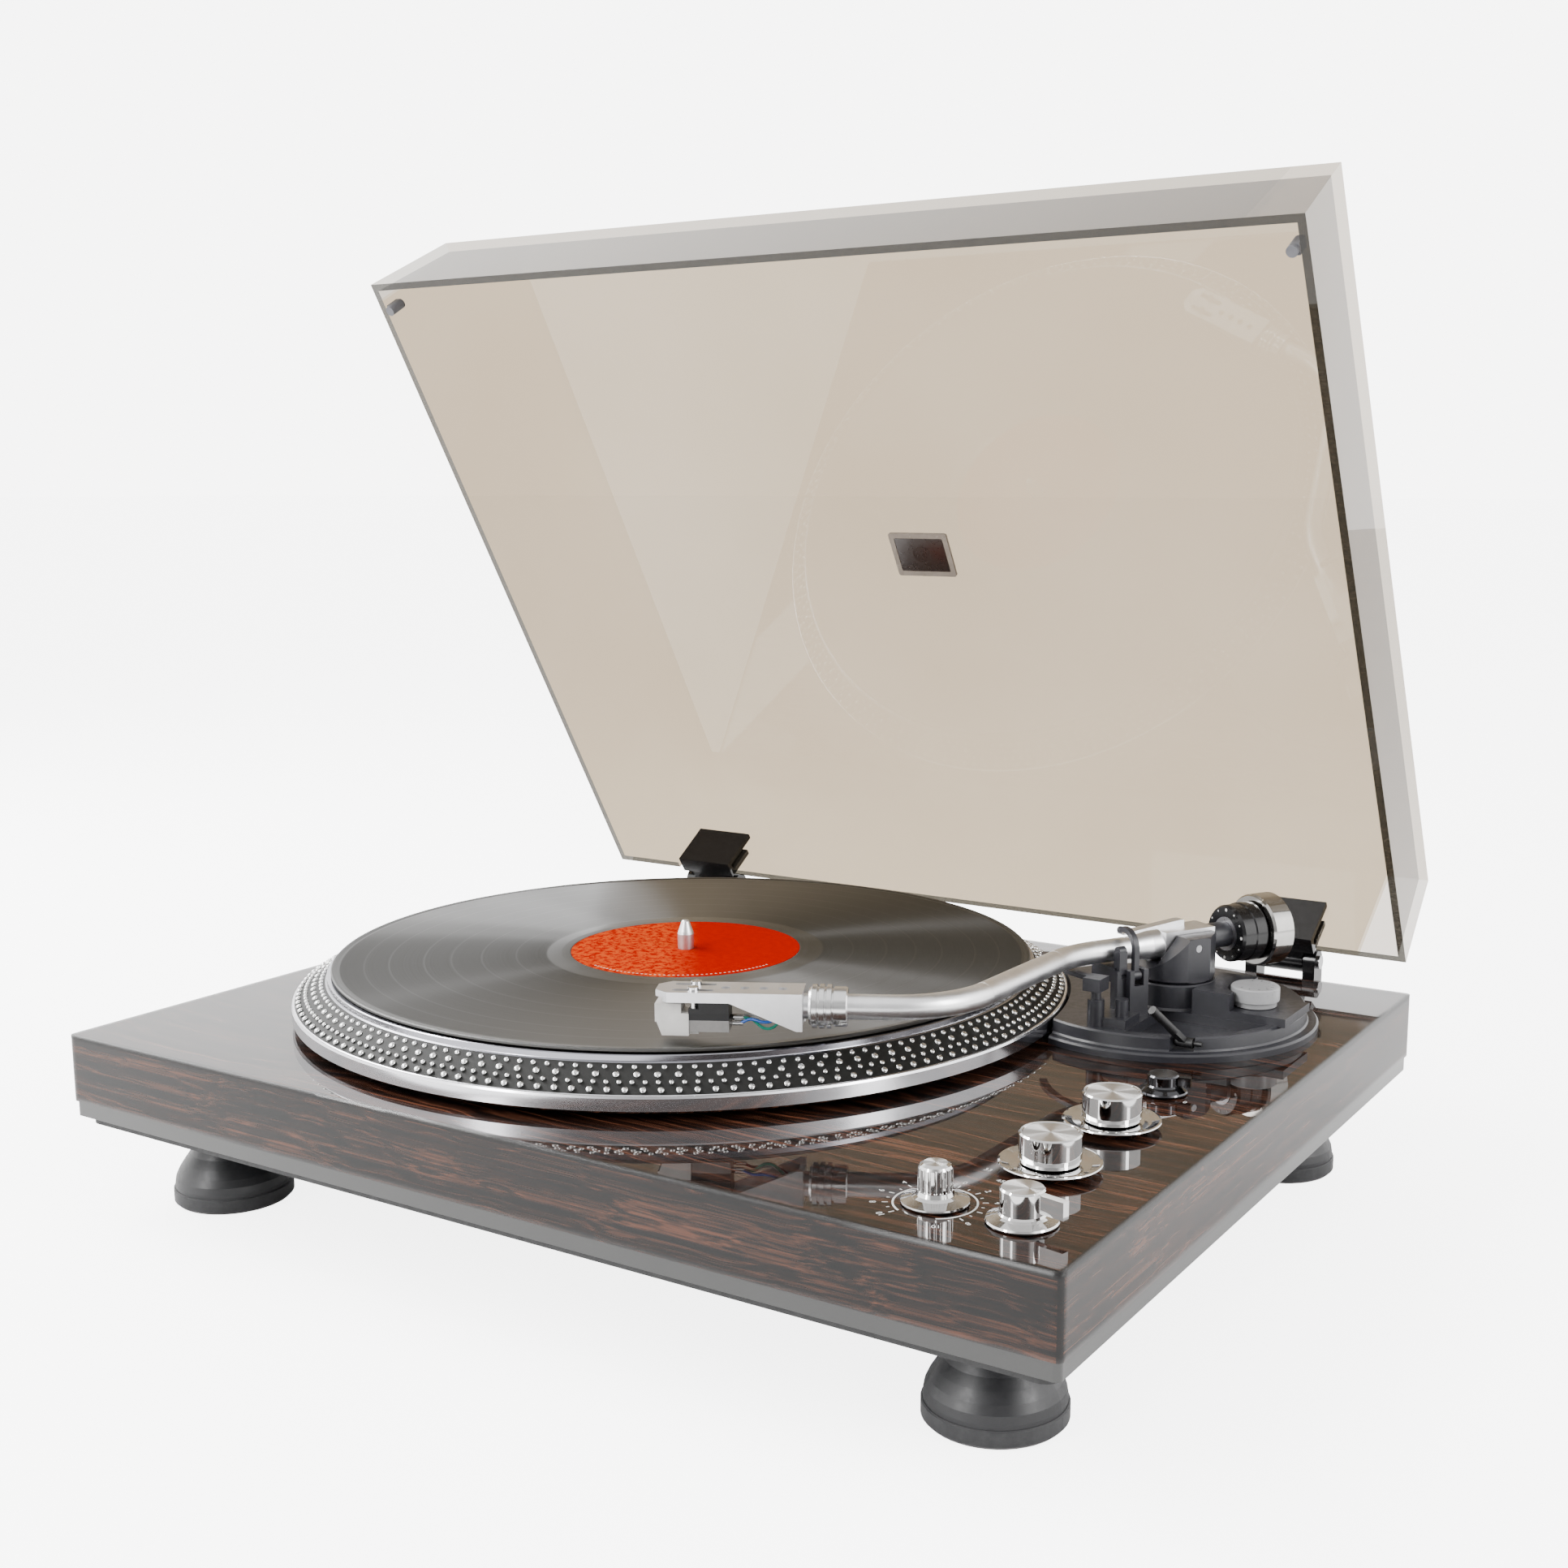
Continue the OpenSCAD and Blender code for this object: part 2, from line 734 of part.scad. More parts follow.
module arm_pedestal() {
  color([0.17, 0.17, 0.18]) deck() difference() {
    union() {
      translate([yaw_x, yaw_y, 0]) rotate_extrude()
        polygon([[6, drum_top], [19, drum_top], [18, drum_top + 1], [17.8, pedestal_top - 0.6],
                 [17.2, pedestal_top], [6, pedestal_top]]);
      translate([yaw_x, yaw_y, 0]) post(8.4, -13, drum_top);
      box(166, 182, 66.2, 99, drum_top, pedestal_top - 0.2);
      box(182, 205.5, 66.2, 96, drum_top, skate_low);
    }
    translate([yaw_x, yaw_y, 0]) post(6 + fit, -10, 30);
    translate([skate_at[0], skate_at[1], 0]) post(11, skate_low, 30);
    translate([skate_at[0], skate_at[1], 0]) post(2.9 + fit, 0, 30);
  }
}

module antiskate_knob() {
  color([0.8, 0.8, 0.82]) deck() translate([skate_at[0], skate_at[1], 0]) {
    rotate_extrude() polygon([[0, skate_low + 0.3], [8.8, skate_low + 0.3], [8.8, 14.7],
                              [9.9, 15.1], [9.9, 20.2], [9.4, 20.7], [0, 20.7]]);
    post(2.9, 3, skate_low + 1);
  }
}

// Lever lifted towards the front: a slim bar on a transverse pin
module cue_lever() {
  color([0.05, 0.05, 0.055]) deck() translate([lever_at[0], lever_at[1], lever_z]) {
    rod_x(2.1, -3.6, 3.6);
    rod_x(1, -7.2, 7.2);
    rotate([-44, 0, 0]) rotate([0, 0, -18]) {
      box(-1.4, 1.4, -9, 0, -1.2, 1.2);
      translate([0, -8, 0]) rotate([90, 0, 0]) cylinder(r = 1.8, h = 16);
    }
  }
}

rail_low = 26.9;
rail_top = arm_z - tube_r - 0.75;

// Rod, head and curved rail; the rail follows the tube's swing about its pivot
module lift_rail() {
  color([0.13, 0.13, 0.14]) deck() {
    translate([lift_at[0], lift_at[1] + 4, 0]) {
      post(2, 7.2, rail_top - 1);
      box(-4.2, 3.4, -4, 4.6, 23.4, rail_top);
    }
    translate([arm_x, arm_y, rail_low]) rotate([0, 0, -150])
      rotate_extrude(angle = 46, $fn = 180) translate([rail_r - 1.6, 0]) square([3.2, rail_top - rail_low]);
  }
}

rest_a = 38;
rest_b = 8.3;

// Arm rest beside the tube: foot, cradle step and upright
module arm_rest() {
  color([0.16, 0.16, 0.17]) deck() arm_frame() difference() {
    union() {
      translate([rest_a, rest_b, 0]) {
        box(-3.4, 3, -2.2, 2.4, drum_top - arm_z, -6.3);
        box(-1.9, 1.9, -1.9, 2.2, -6.3, 1.6);
        translate([0, 0.15, 1.6]) rotate([0, 90, 0]) cylinder(r = 1.9, h = 3.4, center = true);
      }
      box(rest_a - 3.4, rest_a + 3, -7, rest_b, -11.5, -tube_r - 0.6);
      box(rest_a - 10.4, rest_a - 8, rest_b - 1.8, rest_b + 5.4, drum_top - arm_z, -6);
      box(rest_a - 8, rest_a - 3.4, rest_b - 1.8, rest_b + 5.4, drum_top - arm_z, -12.5);
      box(rest_a - 3.4, rest_a - 1.2, rest_b - 1.8, rest_b + 5.4, drum_top - arm_z, -6);
    }
    translate([0, rest_b + 2.6, -8.6]) rod_x(0.85, rest_a - 12, rest_a + 1);
  }
}

clip_arc = 8.2;
clip_rise = 1.9;
clip_turn = 118;

// Hook on a pin beside the tube, curling over its top with a small ball at the end
module rest_clip() {
  color([0.15, 0.15, 0.16]) deck() arm_frame() translate([rest_a - 5.7, 0, 0]) {
    translate([0, rest_b + 2.6, -8.6]) {
      rod_x(2.1, -1.9, 1.9);
      rod_x(0.8, -4.4, 4.2);
    }
    box(-1.2, 1.2, rest_b + 1.4, rest_b + 3.6, -8.6, clip_rise);
    translate([0, rest_b + 3.6 - clip_arc, clip_rise]) {
      rotate([90, 0, 90]) rotate_extrude(angle = clip_turn, $fn = 96)
        translate([clip_arc - 2.2, -1.2]) square([2.2, 2.4]);
      rotate([clip_turn, 0, 0]) translate([0, clip_arc - 1.1, 0]) sphere(r = 1.5, $fn = 32);
    }
  }
}

// ---- tonearm ----

yaw_flat = 16;
// where the tube begins inside its holder, ahead of the cross pins
tube_start = 6;

module yaw_housing() {
  color([0.17, 0.17, 0.18]) deck() arm_frame() translate([yaw_a, 0, 0]) difference() {
    union() {
      rotate_extrude() polygon([[0, yaw_low - arm_z], [yaw_r - 0.8, yaw_low - arm_z],
                                [yaw_r, yaw_low + 0.8 - arm_z], [yaw_r, yaw_top - 0.8 - arm_z],
                                [yaw_r - 0.8, yaw_top - arm_z], [0, yaw_top - arm_z]]);
      post(6, -7 - arm_z, yaw_low - arm_z);
    }
    box(-20, 20, -slot_w / 2, slot_w / 2, -6.8, 10);
    // two flats on each ear, and the front sloped back under the tube
    for (s = [-1, 1])
      for (a = [90, 130])
        rotate(s * a) box(yaw_flat, 20, -20, 20, -20, 10);
    rotate([90, 0, 0]) translate([0, 0, -20]) linear_extrude(40)
      polygon([[4.5, 4.3], [17.2, -9.7], [30, -9.7], [30, 10], [4.5, 10]]);
    for (s = [-1, 1])
      rotate([s * 90, 0, 0]) post(1.6, 5, 20);
  }
}

module pivot_screws() {
  color([0.75, 0.76, 0.78]) deck() arm_frame() translate([yaw_a, 0, 0]) for (s = [-1, 1])
    rotate([s * 90, 0, 0]) {
      post(1.55, slot_w / 2 + 0.1, yaw_flat - 0.2);
      post(1.15, 4, slot_w / 2 + 0.2);
    }
}

module arm_holder() {
  color([0.74, 0.75, 0.77]) deck() arm_frame() {
    difference() {
      union() {
        box(-12, 13.5, -6.5, 6.5, -5.6, 5.8);
        turned_x([[13, 0], [13, 5.55], [13.5, 6.3], [19, 6.1], [27, tube_r + 0.25], [27, 0]]);
      }
      translate([yaw_a, 0, 0]) rotate([90, 0, 0]) post(1.15 + fit, -8, 8);
      rod_x(tube_r, tube_start, 28);
      rod_x(5.4, -13, -3);
    }
    // thin fin lying along one side of the top, rising to the rear
    translate([0, 0, 5.8]) rotate([90, 0, 0]) translate([0, 0, 1.5]) linear_extrude(4.8)
      polygon([[-2, -0.4], [-2, 2.4], [0, 2.5], [29, -0.2], [29, -0.9], [13.2, -0.4]]);
  }
}

tan_1 = tangent(bend_1, head_mid - head_rear);
tan_2 = tangent(bend_2, head_mid - head_front);

seam_r = tube_r + 0.03;
seam_half = 0.6;
seam_gap = 0.2;

// Round bend starting at the origin along +X and turning left by a
module bend(r, a) {
  trim = seam_gap / r * 180 / PI;
  translate([0, r, 0]) rotate(-90 + trim) rotate_extrude(angle = a - 2 * trim)
    translate([r, 0]) circle(r = tube_r);
  rod_x(seam_r, -seam_half, seam_half);
  translate([0, r, 0]) rotate(a) translate([0, -r, 0]) rod_x(seam_r, -seam_half, seam_half);
}

module arm_tube() {
  color([0.78, 0.79, 0.8]) deck() {
    arm_frame() rod_x(tube_r, tube_start, run_rear - tan_1 - seam_gap);
    arm_frame() translate([run_rear - tan_1, 0, 0]) bend(bend_1, head_mid - head_rear);
    mid_frame() rod_x(tube_r, tan_1 + seam_gap, run_mid - tan_2 - seam_gap);
    mid_frame() translate([run_mid - tan_2, 0, 0]) scale([1, -1, 1]) bend(bend_2, head_mid - head_front);
    front_frame() rod_x(tube_r, tan_2 + seam_gap, run_front + 7);
  }
}

module locking_collar() {
  color([0.8, 0.8, 0.82]) deck() shell_frame() difference() {
    turned_x([[0, 4], [0, 6.8], [0.5, 7.4], [5, 7.4], [5.2, 6.6], [5.6, 6.6], [5.9, 8.1], [7.6, 8.1],
              [7.9, 7.2], [8.3, 7.2], [8.6, 8.2], [10.3, 8.2], [10.6, 7.2], [11, 7.2],
              [11.3, 8.1], [13, 8.1], [13.4, 7.2], [14.2, 6.8], [14.2, 4]]);
    rod_x(tube_r + fit, -1, 15);
  }
}

shell_low = 4;
shell_top = 6.4;
shell_end = 70.4;
rim_low = 2.6;

// Slotted shell: flat top plate with side cheeks, the outer one deep at the rear
module headshell() {
  color([0.76, 0.77, 0.79]) deck() shell_frame() difference() {
    union() {
      rod_x(tube_r, 7.2, 16.2);
      box(16.2, shell_end, -8, 8, shell_low, shell_top);
      for (s = [-1, 1])
        scale([1, s, 1]) {
          box(16.2, 43, 6.2, 8, -7.6, shell_low);
          box(42, shell_end, 6.4, 8, rim_low, shell_low);
        }
      box(16.2, 18.4, -6.2, 6.2, -5.4, shell_low);
    }
    for (s = [-1, 1])
      scale([1, s, 1]) {
        box(50, 63, 2.9, 5.3, 2, 8);
        translate([50, 4.1, 2]) cylinder(r = 1.2, h = 6, $fn = 24);
        translate([63, 4.1, 2]) cylinder(r = 1.2, h = 6, $fn = 24);
      }
    for (x = [24, 31, 38, 45])
      translate([x, 0, 2]) cylinder(r = 1.7, h = 6, $fn = 24);
    // sloping lower edge of the rear cheeks and tapered nose
    translate([18.4, -9, -7.6]) rotate([0, -22.5, 0]) translate([0, 0, -12]) cube([26.6, 18, 12]);
    for (s = [-1, 1])
      scale([1, s, 1]) translate([65.8, 8, 0]) rotate(-42) cube([9, 9, 9]);
  }
}

screw_x = 56.4;

module headshell_screws() {
  color([0.8, 0.8, 0.82]) deck() shell_frame() for (s = [-1, 1])
    translate([screw_x, s * 4.1, 0]) {
      post(1.1, -1.8, shell_top);
      post(2, shell_top, shell_top + 1.3);
    }
}

body_x = 43.4;
body_low = -9.2;
body_top = -2.2;
block_x = 58.2;

module cartridge_body() {
  color([0.5, 0.5, 0.51]) deck() shell_frame() difference() {
    union() {
      box(body_x, 54.4, -5.6, 5.6, body_top, shell_low);
      box(54.4, block_x, -5.6, 5.6, body_top, body_top + 1.8);
      box(body_x, block_x, -4.8, 4.8, body_low, body_top);
      for (y = [-3, -1, 1, 3])
        translate([body_x, y, abs(y) == 3 ? -6.2 : -4.4]) rod_x(0.55, -5, 0.5);
    }
    for (s = [-1, 1])
      translate([screw_x, s * 4.1, 0]) post(1.1, -1.8, 3);
  }
}

block_low = -10.6;

// Along the cantilever's axis, sloping down towards the tip
module cantilever(r, from, to) {
  translate([60.5, 0, -10.2]) rotate([0, 104, 0]) translate([0, 0, from]) cylinder(r = r, h = to - from, $fn = 24);
}

module stylus_block() {
  color([0.84, 0.83, 0.8]) deck() shell_frame() difference() {
    union() {
      box(block_x, 70.6, -5.3, 5.3, block_low, 1.4);
      box(54.8, block_x, -3.4, 3.4, block_low + 0.2, body_low);
    }
    box(57, 61, -5.7, 5.7, body_top, 3);
    translate([68, -6, -11]) rotate([0, 20, 0]) cube([8, 12, 6]);
    cantilever(0.32, -0.1, 5);
  }
}

stylus_z = -11.4;

module stylus_tip() {
  color([0.7, 0.7, 0.72]) deck() shell_frame() {
    cantilever(0.3, 0, 4.6);
    translate([64.6, 0, stylus_z]) cylinder(r1 = 0.08, r2 = 0.22, h = 0.5, $fn = 24);
  }
}

wire_r = 0.42;
wire_from = [19, -1.2];
wire_to = [38.3, -5.2];
wire_bend = 16;
wire_chord = wire_to - wire_from;
wire_rise = sqrt(wire_bend * wire_bend - norm(wire_chord) * norm(wire_chord) / 4);
wire_mid = (wire_from + wire_to) / 2 + [-wire_chord[1], wire_chord[0]] / norm(wire_chord) * wire_rise;
wire_start = atan2(wire_from[1] - wire_mid[1], wire_from[0] - wire_mid[0]);
wire_sweep = 2 * asin(norm(wire_chord) / 2 / wire_bend);

// Four thin leads sagging from the shell's rear wall to the cartridge's pins
module lead_wires() {
  color([0.1, 0.3, 0.75]) deck() shell_frame() for (y = [-3, -1, 1, 3])
    translate([wire_mid[0], y, wire_mid[1]]) rotate([90, 0, 0]) rotate(wire_start)
      rotate_extrude(angle = wire_sweep) translate([wire_bend, 0]) circle(r = wire_r);
}

sleeve_r = 7.2;

module rear_shaft() {
  color([0.13, 0.13, 0.14]) deck() arm_frame() rod_x(5.4, -40, -3);
}

// Threaded sleeve that carries the dial ring and the counterweight along the shaft
module weight_sleeve() {
  color([0.3, 0.3, 0.32]) deck() arm_frame() ring_x(sleeve_r, 5.4 + fit, -43.4, -22.9);
}

module dial_ring() {
  color([0.03, 0.03, 0.035]) deck() arm_frame() difference() {
    turned_x([[-37, 4], [-37, 11.8], [-36, 12.6], [-30.6, 12.6], [-30, 12.2], [-24.4, 12.2],
              [-23.2, 11.4], [-23.2, 4]]);
    rod_x(sleeve_r + fit, -40, -10);
  }
}

module counterweight() {
  color([0.6, 0.6, 0.6]) deck() arm_frame() difference() {
    turned_x([[-48.8, 0], [-48.8, weight_r - 1], [-47.8, weight_r], [-38.4, weight_r],
              [-37.4, weight_r - 0.8], [-37.4, 0]]);
    rod_x(sleeve_r + fit, -44.2, -36);
  }
}

// ---- lid and hinges ----

notch_x = hinge_w / 2 + 1.6;
notch_h = 3.6;

module lid() {
  color([0.62, 0.58, 0.52, 0.35]) deck() lid_frame() translate([0, lid_mid, rim_gap]) difference() {
    drafted(lid_w, lid_d, lid_h, lid_draft);
    translate([0, 0, -EPS]) drafted(lid_w - 2 * lid_t, lid_d - 2 * lid_t, lid_h - lid_t, lid_draft);
    for (s = [-1, 1])
      translate([s * hinge_x, lid_d / 2 - 5, -1]) box(-notch_x, notch_x, 0, 6, 0, notch_h + 1);
  }
}

badge_w = 31;
badge_d = 23;

// Framed plate on the inside of the lid's top panel
module lid_badge() {
  color([0.55, 0.5, 0.45]) deck() lid_frame()
    translate([0, lid_mid - 3, rim_gap + lid_h - lid_t - 1.22]) difference() {
      rbox(badge_w, badge_d, 1.2, 1.2);
      rbox(badge_w - 5, badge_d - 5, 1, 0.8, -0.5);
    }
}

module lid_bumpers() {
  color([0.5, 0.5, 0.52]) deck() lid_frame() for (s = [-1, 1])
    translate([s * (lid_w / 2 - lid_t - 2.9), lid_back - lid_d + 13, 0]) {
      post(2.2, 0.25, 9);
      box(s > 0 ? 0 : -2.28, s > 0 ? 2.28 : 0, -2.2, 2.2, 2, 9);
    }
}

module at_hinges() {
  for (s = [-1, 1])
    translate([s * hinge_x, 0, 0]) children();
}

lug_w = 5.6;

// Bracket on the plinth's rear face with two lugs round the pin
module hinge_bases() {
  color([0.03, 0.03, 0.032]) deck() at_hinges() difference() {
    union() {
      box(-hinge_w / 2, hinge_w / 2, half_d, half_d + 3, -26, -3.4);
      for (s = [-1, 1])
        scale([s, 1, 1]) {
          translate([hinge_w / 2 - lug_w, hinge_y, hinge_z]) rod_x(barrel_r, 0, lug_w);
          box(hinge_w / 2 - lug_w, hinge_w / 2, hinge_y - 5.5, hinge_y + 5.5, -16, hinge_z);
          box(hinge_w / 2 - lug_w, hinge_w / 2, half_d + 2, hinge_y, -16, -3.4);
        }
    }
    translate([0, hinge_y, hinge_z]) rod_x(pin_r, -20, 20);
    for (s = [-1, 1])
      translate([s * 7, half_d - 1, -16]) rotate([-90, 0, 0]) cylinder(r = 1.7, h = 5);
  }
}

jaw_t = 2.8;
leaf_w = hinge_w - 0.02;
arm_half = hinge_w / 2 - lug_w - 0.4;
wall_lean = atan(lid_draft / lid_h);
jaw_in = lid_t + 0.25;

// Frame on the lid's rear wall: +Z up its outer face from the rim, +Y outwards
module wall_frame() {
  translate([0, lid_back, rim_gap]) rotate([wall_lean, 0, 0]) children();
}

// Two plates clamping the lid's rear wall, joined under it, with a barrel on the pin
module hinge_leaves() {
  color([0.03, 0.03, 0.032]) deck() lid_frame() at_hinges() difference() {
    union() {
      wall_frame() {
        box(-leaf_w / 2, leaf_w / 2, -jaw_in - jaw_t, -jaw_in, 0.3, 25);
        box(-leaf_w / 2, leaf_w / 2, -jaw_in - 1, 1, 0.3, 3.2);
        box(-leaf_w / 2, leaf_w / 2, 0.05, jaw_t, 0.3, 19);
      }
      box(-arm_half, arm_half, lid_back + 1, hinge_y, rim_gap + 0.6, hinge_z + 4);
      translate([0, hinge_y, hinge_z]) rod_x(barrel_r, -arm_half, arm_half);
    }
    translate([0, hinge_y, hinge_z]) rod_x(pin_r + fit, -20, 20);
  }
}

module hinge_pins() {
  color([0.7, 0.7, 0.72]) deck() at_hinges() translate([0, hinge_y, hinge_z]) {
    rod_x(pin_r, -hinge_w / 2 - 0.6, hinge_w / 2 + 0.6);
    for (s = [-1, 1])
      scale([s, 1, 1]) rod_x(3.2, hinge_w / 2, hinge_w / 2 + 1.2);
  }
}

plinth_body();
base_frame();
base_panel();
feet();
foot_pads();
panel_screws();
rear_panel();
rca_jacks();
ground_post();
ground_nut();
power_inlet();
power_rocker();
output_switch();
bearing_housing();
spindle_shaft();
platter();
platter_mat();
record();
record_label();
motor_body();
drive_screws();
motor_pulley();
drive_belt();
control_board();
control_pots();
pitch_knob();
speed_knob();
speed_bezel();
mode_knob();
mode_bezel();
return_knob();
cue_knob();
arm_base();
arm_pedestal();
antiskate_knob();
yaw_housing();
pivot_screws();
arm_tube();
arm_holder();
locking_collar();
headshell();
headshell_screws();
cartridge_body();
stylus_block();
stylus_tip();
lead_wires();
rear_shaft();
weight_sleeve();
dial_ring();
counterweight();
cue_lever();
lift_rail();
arm_rest();
rest_clip();
lid();
lid_badge();
lid_bumpers();
hinge_bases();
hinge_leaves();
hinge_pins();
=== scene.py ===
"""Looks of the turntable record player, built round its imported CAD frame."""

import math

import bmesh
import bpy
from mathutils import Matrix, Vector

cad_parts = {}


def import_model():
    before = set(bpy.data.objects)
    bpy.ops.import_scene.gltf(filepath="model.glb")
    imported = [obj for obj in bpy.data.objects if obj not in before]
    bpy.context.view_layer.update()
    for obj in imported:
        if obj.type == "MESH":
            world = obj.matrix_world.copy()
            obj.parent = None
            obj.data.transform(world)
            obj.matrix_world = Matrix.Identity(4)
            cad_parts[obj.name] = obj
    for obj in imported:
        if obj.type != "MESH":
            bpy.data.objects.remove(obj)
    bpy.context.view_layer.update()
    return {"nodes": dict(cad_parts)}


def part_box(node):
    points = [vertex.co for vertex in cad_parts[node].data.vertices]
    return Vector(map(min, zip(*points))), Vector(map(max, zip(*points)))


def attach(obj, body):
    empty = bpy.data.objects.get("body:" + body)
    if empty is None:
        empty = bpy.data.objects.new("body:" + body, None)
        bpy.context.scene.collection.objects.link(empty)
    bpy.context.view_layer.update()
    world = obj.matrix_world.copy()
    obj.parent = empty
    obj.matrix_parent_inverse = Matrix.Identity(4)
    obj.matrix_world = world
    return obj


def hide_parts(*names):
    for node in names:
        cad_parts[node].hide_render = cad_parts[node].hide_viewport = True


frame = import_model()
nodes = frame["nodes"]

# ---------------------------------------------------------------- places

MM = 0.001
DECK_Z = 74.3
Y_MID = 22.541
SPINDLE = (-45.5, 4.7)
PIVOT = (153.0, 86.0)
ARM_Z = 34.2
HEAD_REAR, HEAD_MID, HEAD_FRONT = -119.5, -91.6, -151.8
RUN_REAR, RUN_MID, RUN_FRONT = 57.3, 93.5, 38.0
LID_OPEN = 59.8
LID_TOP, BADGE_Y = 50.3, 1.0
HINGE_Y, HINGE_Z = 188.7, 5.8
PITCH_AT, RETURN_AT = (167.2, -149.3), (197.7, -149.2)
SPEED_AT, MODE_AT, CUE_AT = (184.8, -103.4), (184.7, -54.0), (185.4, -9.5)
SKATE_AT = (187.5, 81)
SLOPE_LOW, SLOPE_HIGH = (166.5, 9.75), (152.75, 17.5)
TRACK_GAPS = (73.5, 88.2, 101.0, 112.4, 126.9, 137.2)
PRINT_RISE, DIGIT_SIZE = 0.06, 3.0


def deck(x, y, z):
    """A point given in millimetres from the middle of the plinth's top, in the row frame."""
    return Vector((x * MM, (y - Y_MID) * MM, (z + DECK_Z) * MM))


def deck_matrix(x=0, y=0, z=0, turn=0):
    """Millimetres in a frame at a deck point, turned about the upright axis, to the row frame."""
    return (Matrix.Translation(deck(x, y, z)) @ Matrix.Rotation(math.radians(turn), 4, "Z")
            @ Matrix.Scale(MM, 4))


def polar(radius, degrees):
    a = math.radians(degrees)
    return radius * math.cos(a), radius * math.sin(a)


ARM = deck_matrix(*PIVOT, ARM_Z, HEAD_REAR)
MID = ARM @ Matrix.Translation((RUN_REAR, 0, 0)) @ Matrix.Rotation(
    math.radians(HEAD_MID - HEAD_REAR), 4, "Z")
FRONT = MID @ Matrix.Translation((RUN_MID, 0, 0)) @ Matrix.Rotation(
    math.radians(HEAD_FRONT - HEAD_MID), 4, "Z")
SHELL = FRONT @ Matrix.Translation((RUN_FRONT, 0, 0))
LID = (Matrix.Translation(deck(0, HINGE_Y, HINGE_Z)) @ Matrix.Rotation(math.radians(-LID_OPEN), 4, "X")
       @ Matrix.Scale(MM, 4) @ Matrix.Translation((0, -HINGE_Y, -HINGE_Z)))

# ---------------------------------------------------------------- shader helpers


class Shader:
    """One node tree. Inputs are numbers, colours or the outputs of earlier nodes."""

    def __init__(self, name, store=bpy.data.materials, output="OutputMaterial"):
        self.owner = store.new(name)
        self.owner.use_nodes = True
        self.tree = self.owner.node_tree
        self.tree.nodes.clear()
        self.out = self.add(output)

    def add(self, kind, settings=None, **inputs):
        node = self.tree.nodes.new("ShaderNode" + kind)
        for key, value in (settings or {}).items():
            setattr(node, key, value)
        for key, value in inputs.items():
            self.plug(node.inputs[key.replace("_", " ")], value)
        return node

    def plug(self, socket, value):
        if isinstance(value, bpy.types.NodeSocket):
            self.tree.links.new(value, socket)
        elif isinstance(value, bpy.types.Node):
            self.tree.links.new(value.outputs[0], socket)
        else:
            if socket.type == "RGBA" and len(value) == 3:
                value = (*value, 1.0)
            socket.default_value = value

    def math(self, op, a, b=0.0, c=0.0):
        node = self.add("Math", {"operation": op})
        for socket, value in zip(node.inputs, (a, b, c)):
            self.plug(socket, value)
        return node.outputs[0]

    def vec(self, op, a, b=(0, 0, 0)):
        node = self.add("VectorMath", {"operation": op})
        self.plug(node.inputs[0], a)
        self.plug(node.inputs[1], b)
        return node.outputs["Value" if op in ("LENGTH", "DISTANCE", "DOT_PRODUCT") else "Vector"]

    def mm(self, centre=(0, 0, 0)):
        """Object position in millimetres from a point of the row frame."""
        place = self.add("TexCoord").outputs["Object"]
        moved = self.vec("SUBTRACT", place, tuple(centre))
        return self.vec("MULTIPLY", moved, (1000, 1000, 1000))

    def split(self, vector):
        return self.add("SeparateXYZ", Vector=vector).outputs

    def join(self, x, y, z):
        node = self.add("CombineXYZ")
        for socket, value in zip(node.inputs, (x, y, z)):
            self.plug(socket, value)
        return node.outputs[0]

    def noise(self, vector, scale=1.0, detail=3.0, rough=0.5, distortion=0.0):
        return self.add("TexNoise", Vector=vector, Scale=scale, Detail=detail, Roughness=rough,
                        Distortion=distortion).outputs[0]

    def ramp(self, value, stops):
        node = self.add("ValToRGB", Fac=value)
        ramp = node.color_ramp
        ramp.interpolation = "EASE"
        while len(ramp.elements) < len(stops):
            ramp.elements.new(0.5)
        for element, (at, colour) in zip(ramp.elements, stops):
            element.position = at
            element.color = (*colour, 1)
        return node.outputs[0]

    def span(self, value, low, high, to_low=0.0, to_high=1.0, smooth=False):
        kind = "SMOOTHSTEP" if smooth else "LINEAR"
        node = self.add("MapRange", {"interpolation_type": kind, "clamp": True})
        for socket, item in zip(node.inputs, (value, low, high, to_low, to_high)):
            self.plug(socket, item)
        return node.outputs[0]

    def mix(self, factor, a, b):
        node = self.add("Mix", {"data_type": "RGBA"})
        self.plug(node.inputs[0], factor)
        self.plug(node.inputs[6], a)
        self.plug(node.inputs[7], b)
        return node.outputs[2]

    def blend(self, factor, a, b):
        """One shader turning into another."""
        node = self.add("MixShader")
        for socket, item in zip(node.inputs, (factor, a, b)):
            self.plug(socket, item)
        return node

    def bump(self, height, strength, distance):
        return self.add("Bump", Height=height, Strength=strength, Distance=distance).outputs[0]

    def flat_radius(self, point):
        """Distance from the upright axis through a point's origin."""
        x, y, _ = self.split(point)
        return self.vec("LENGTH", self.join(x, y, 0.0))

    def surface(self, colour, roughness, metallic=0.0, **inputs):
        shader = self.add("BsdfPrincipled", Base_Color=colour, Roughness=roughness,
                          Metallic=metallic, **inputs)
        self.plug(self.out.inputs["Surface"], shader)
        return shader


def speckled(s, colour, amount, scale, vector):
    """A colour with a soft cloudiness, and the cloud itself."""
    cloud = s.noise(vector, scale, 4.0, 0.6)
    dark = tuple(c * (1 - amount) for c in colour)
    light = tuple(min(1.0, c * (1 + amount)) for c in colour)
    return s.mix(s.span(cloud, 0.3, 0.7), dark, light), cloud


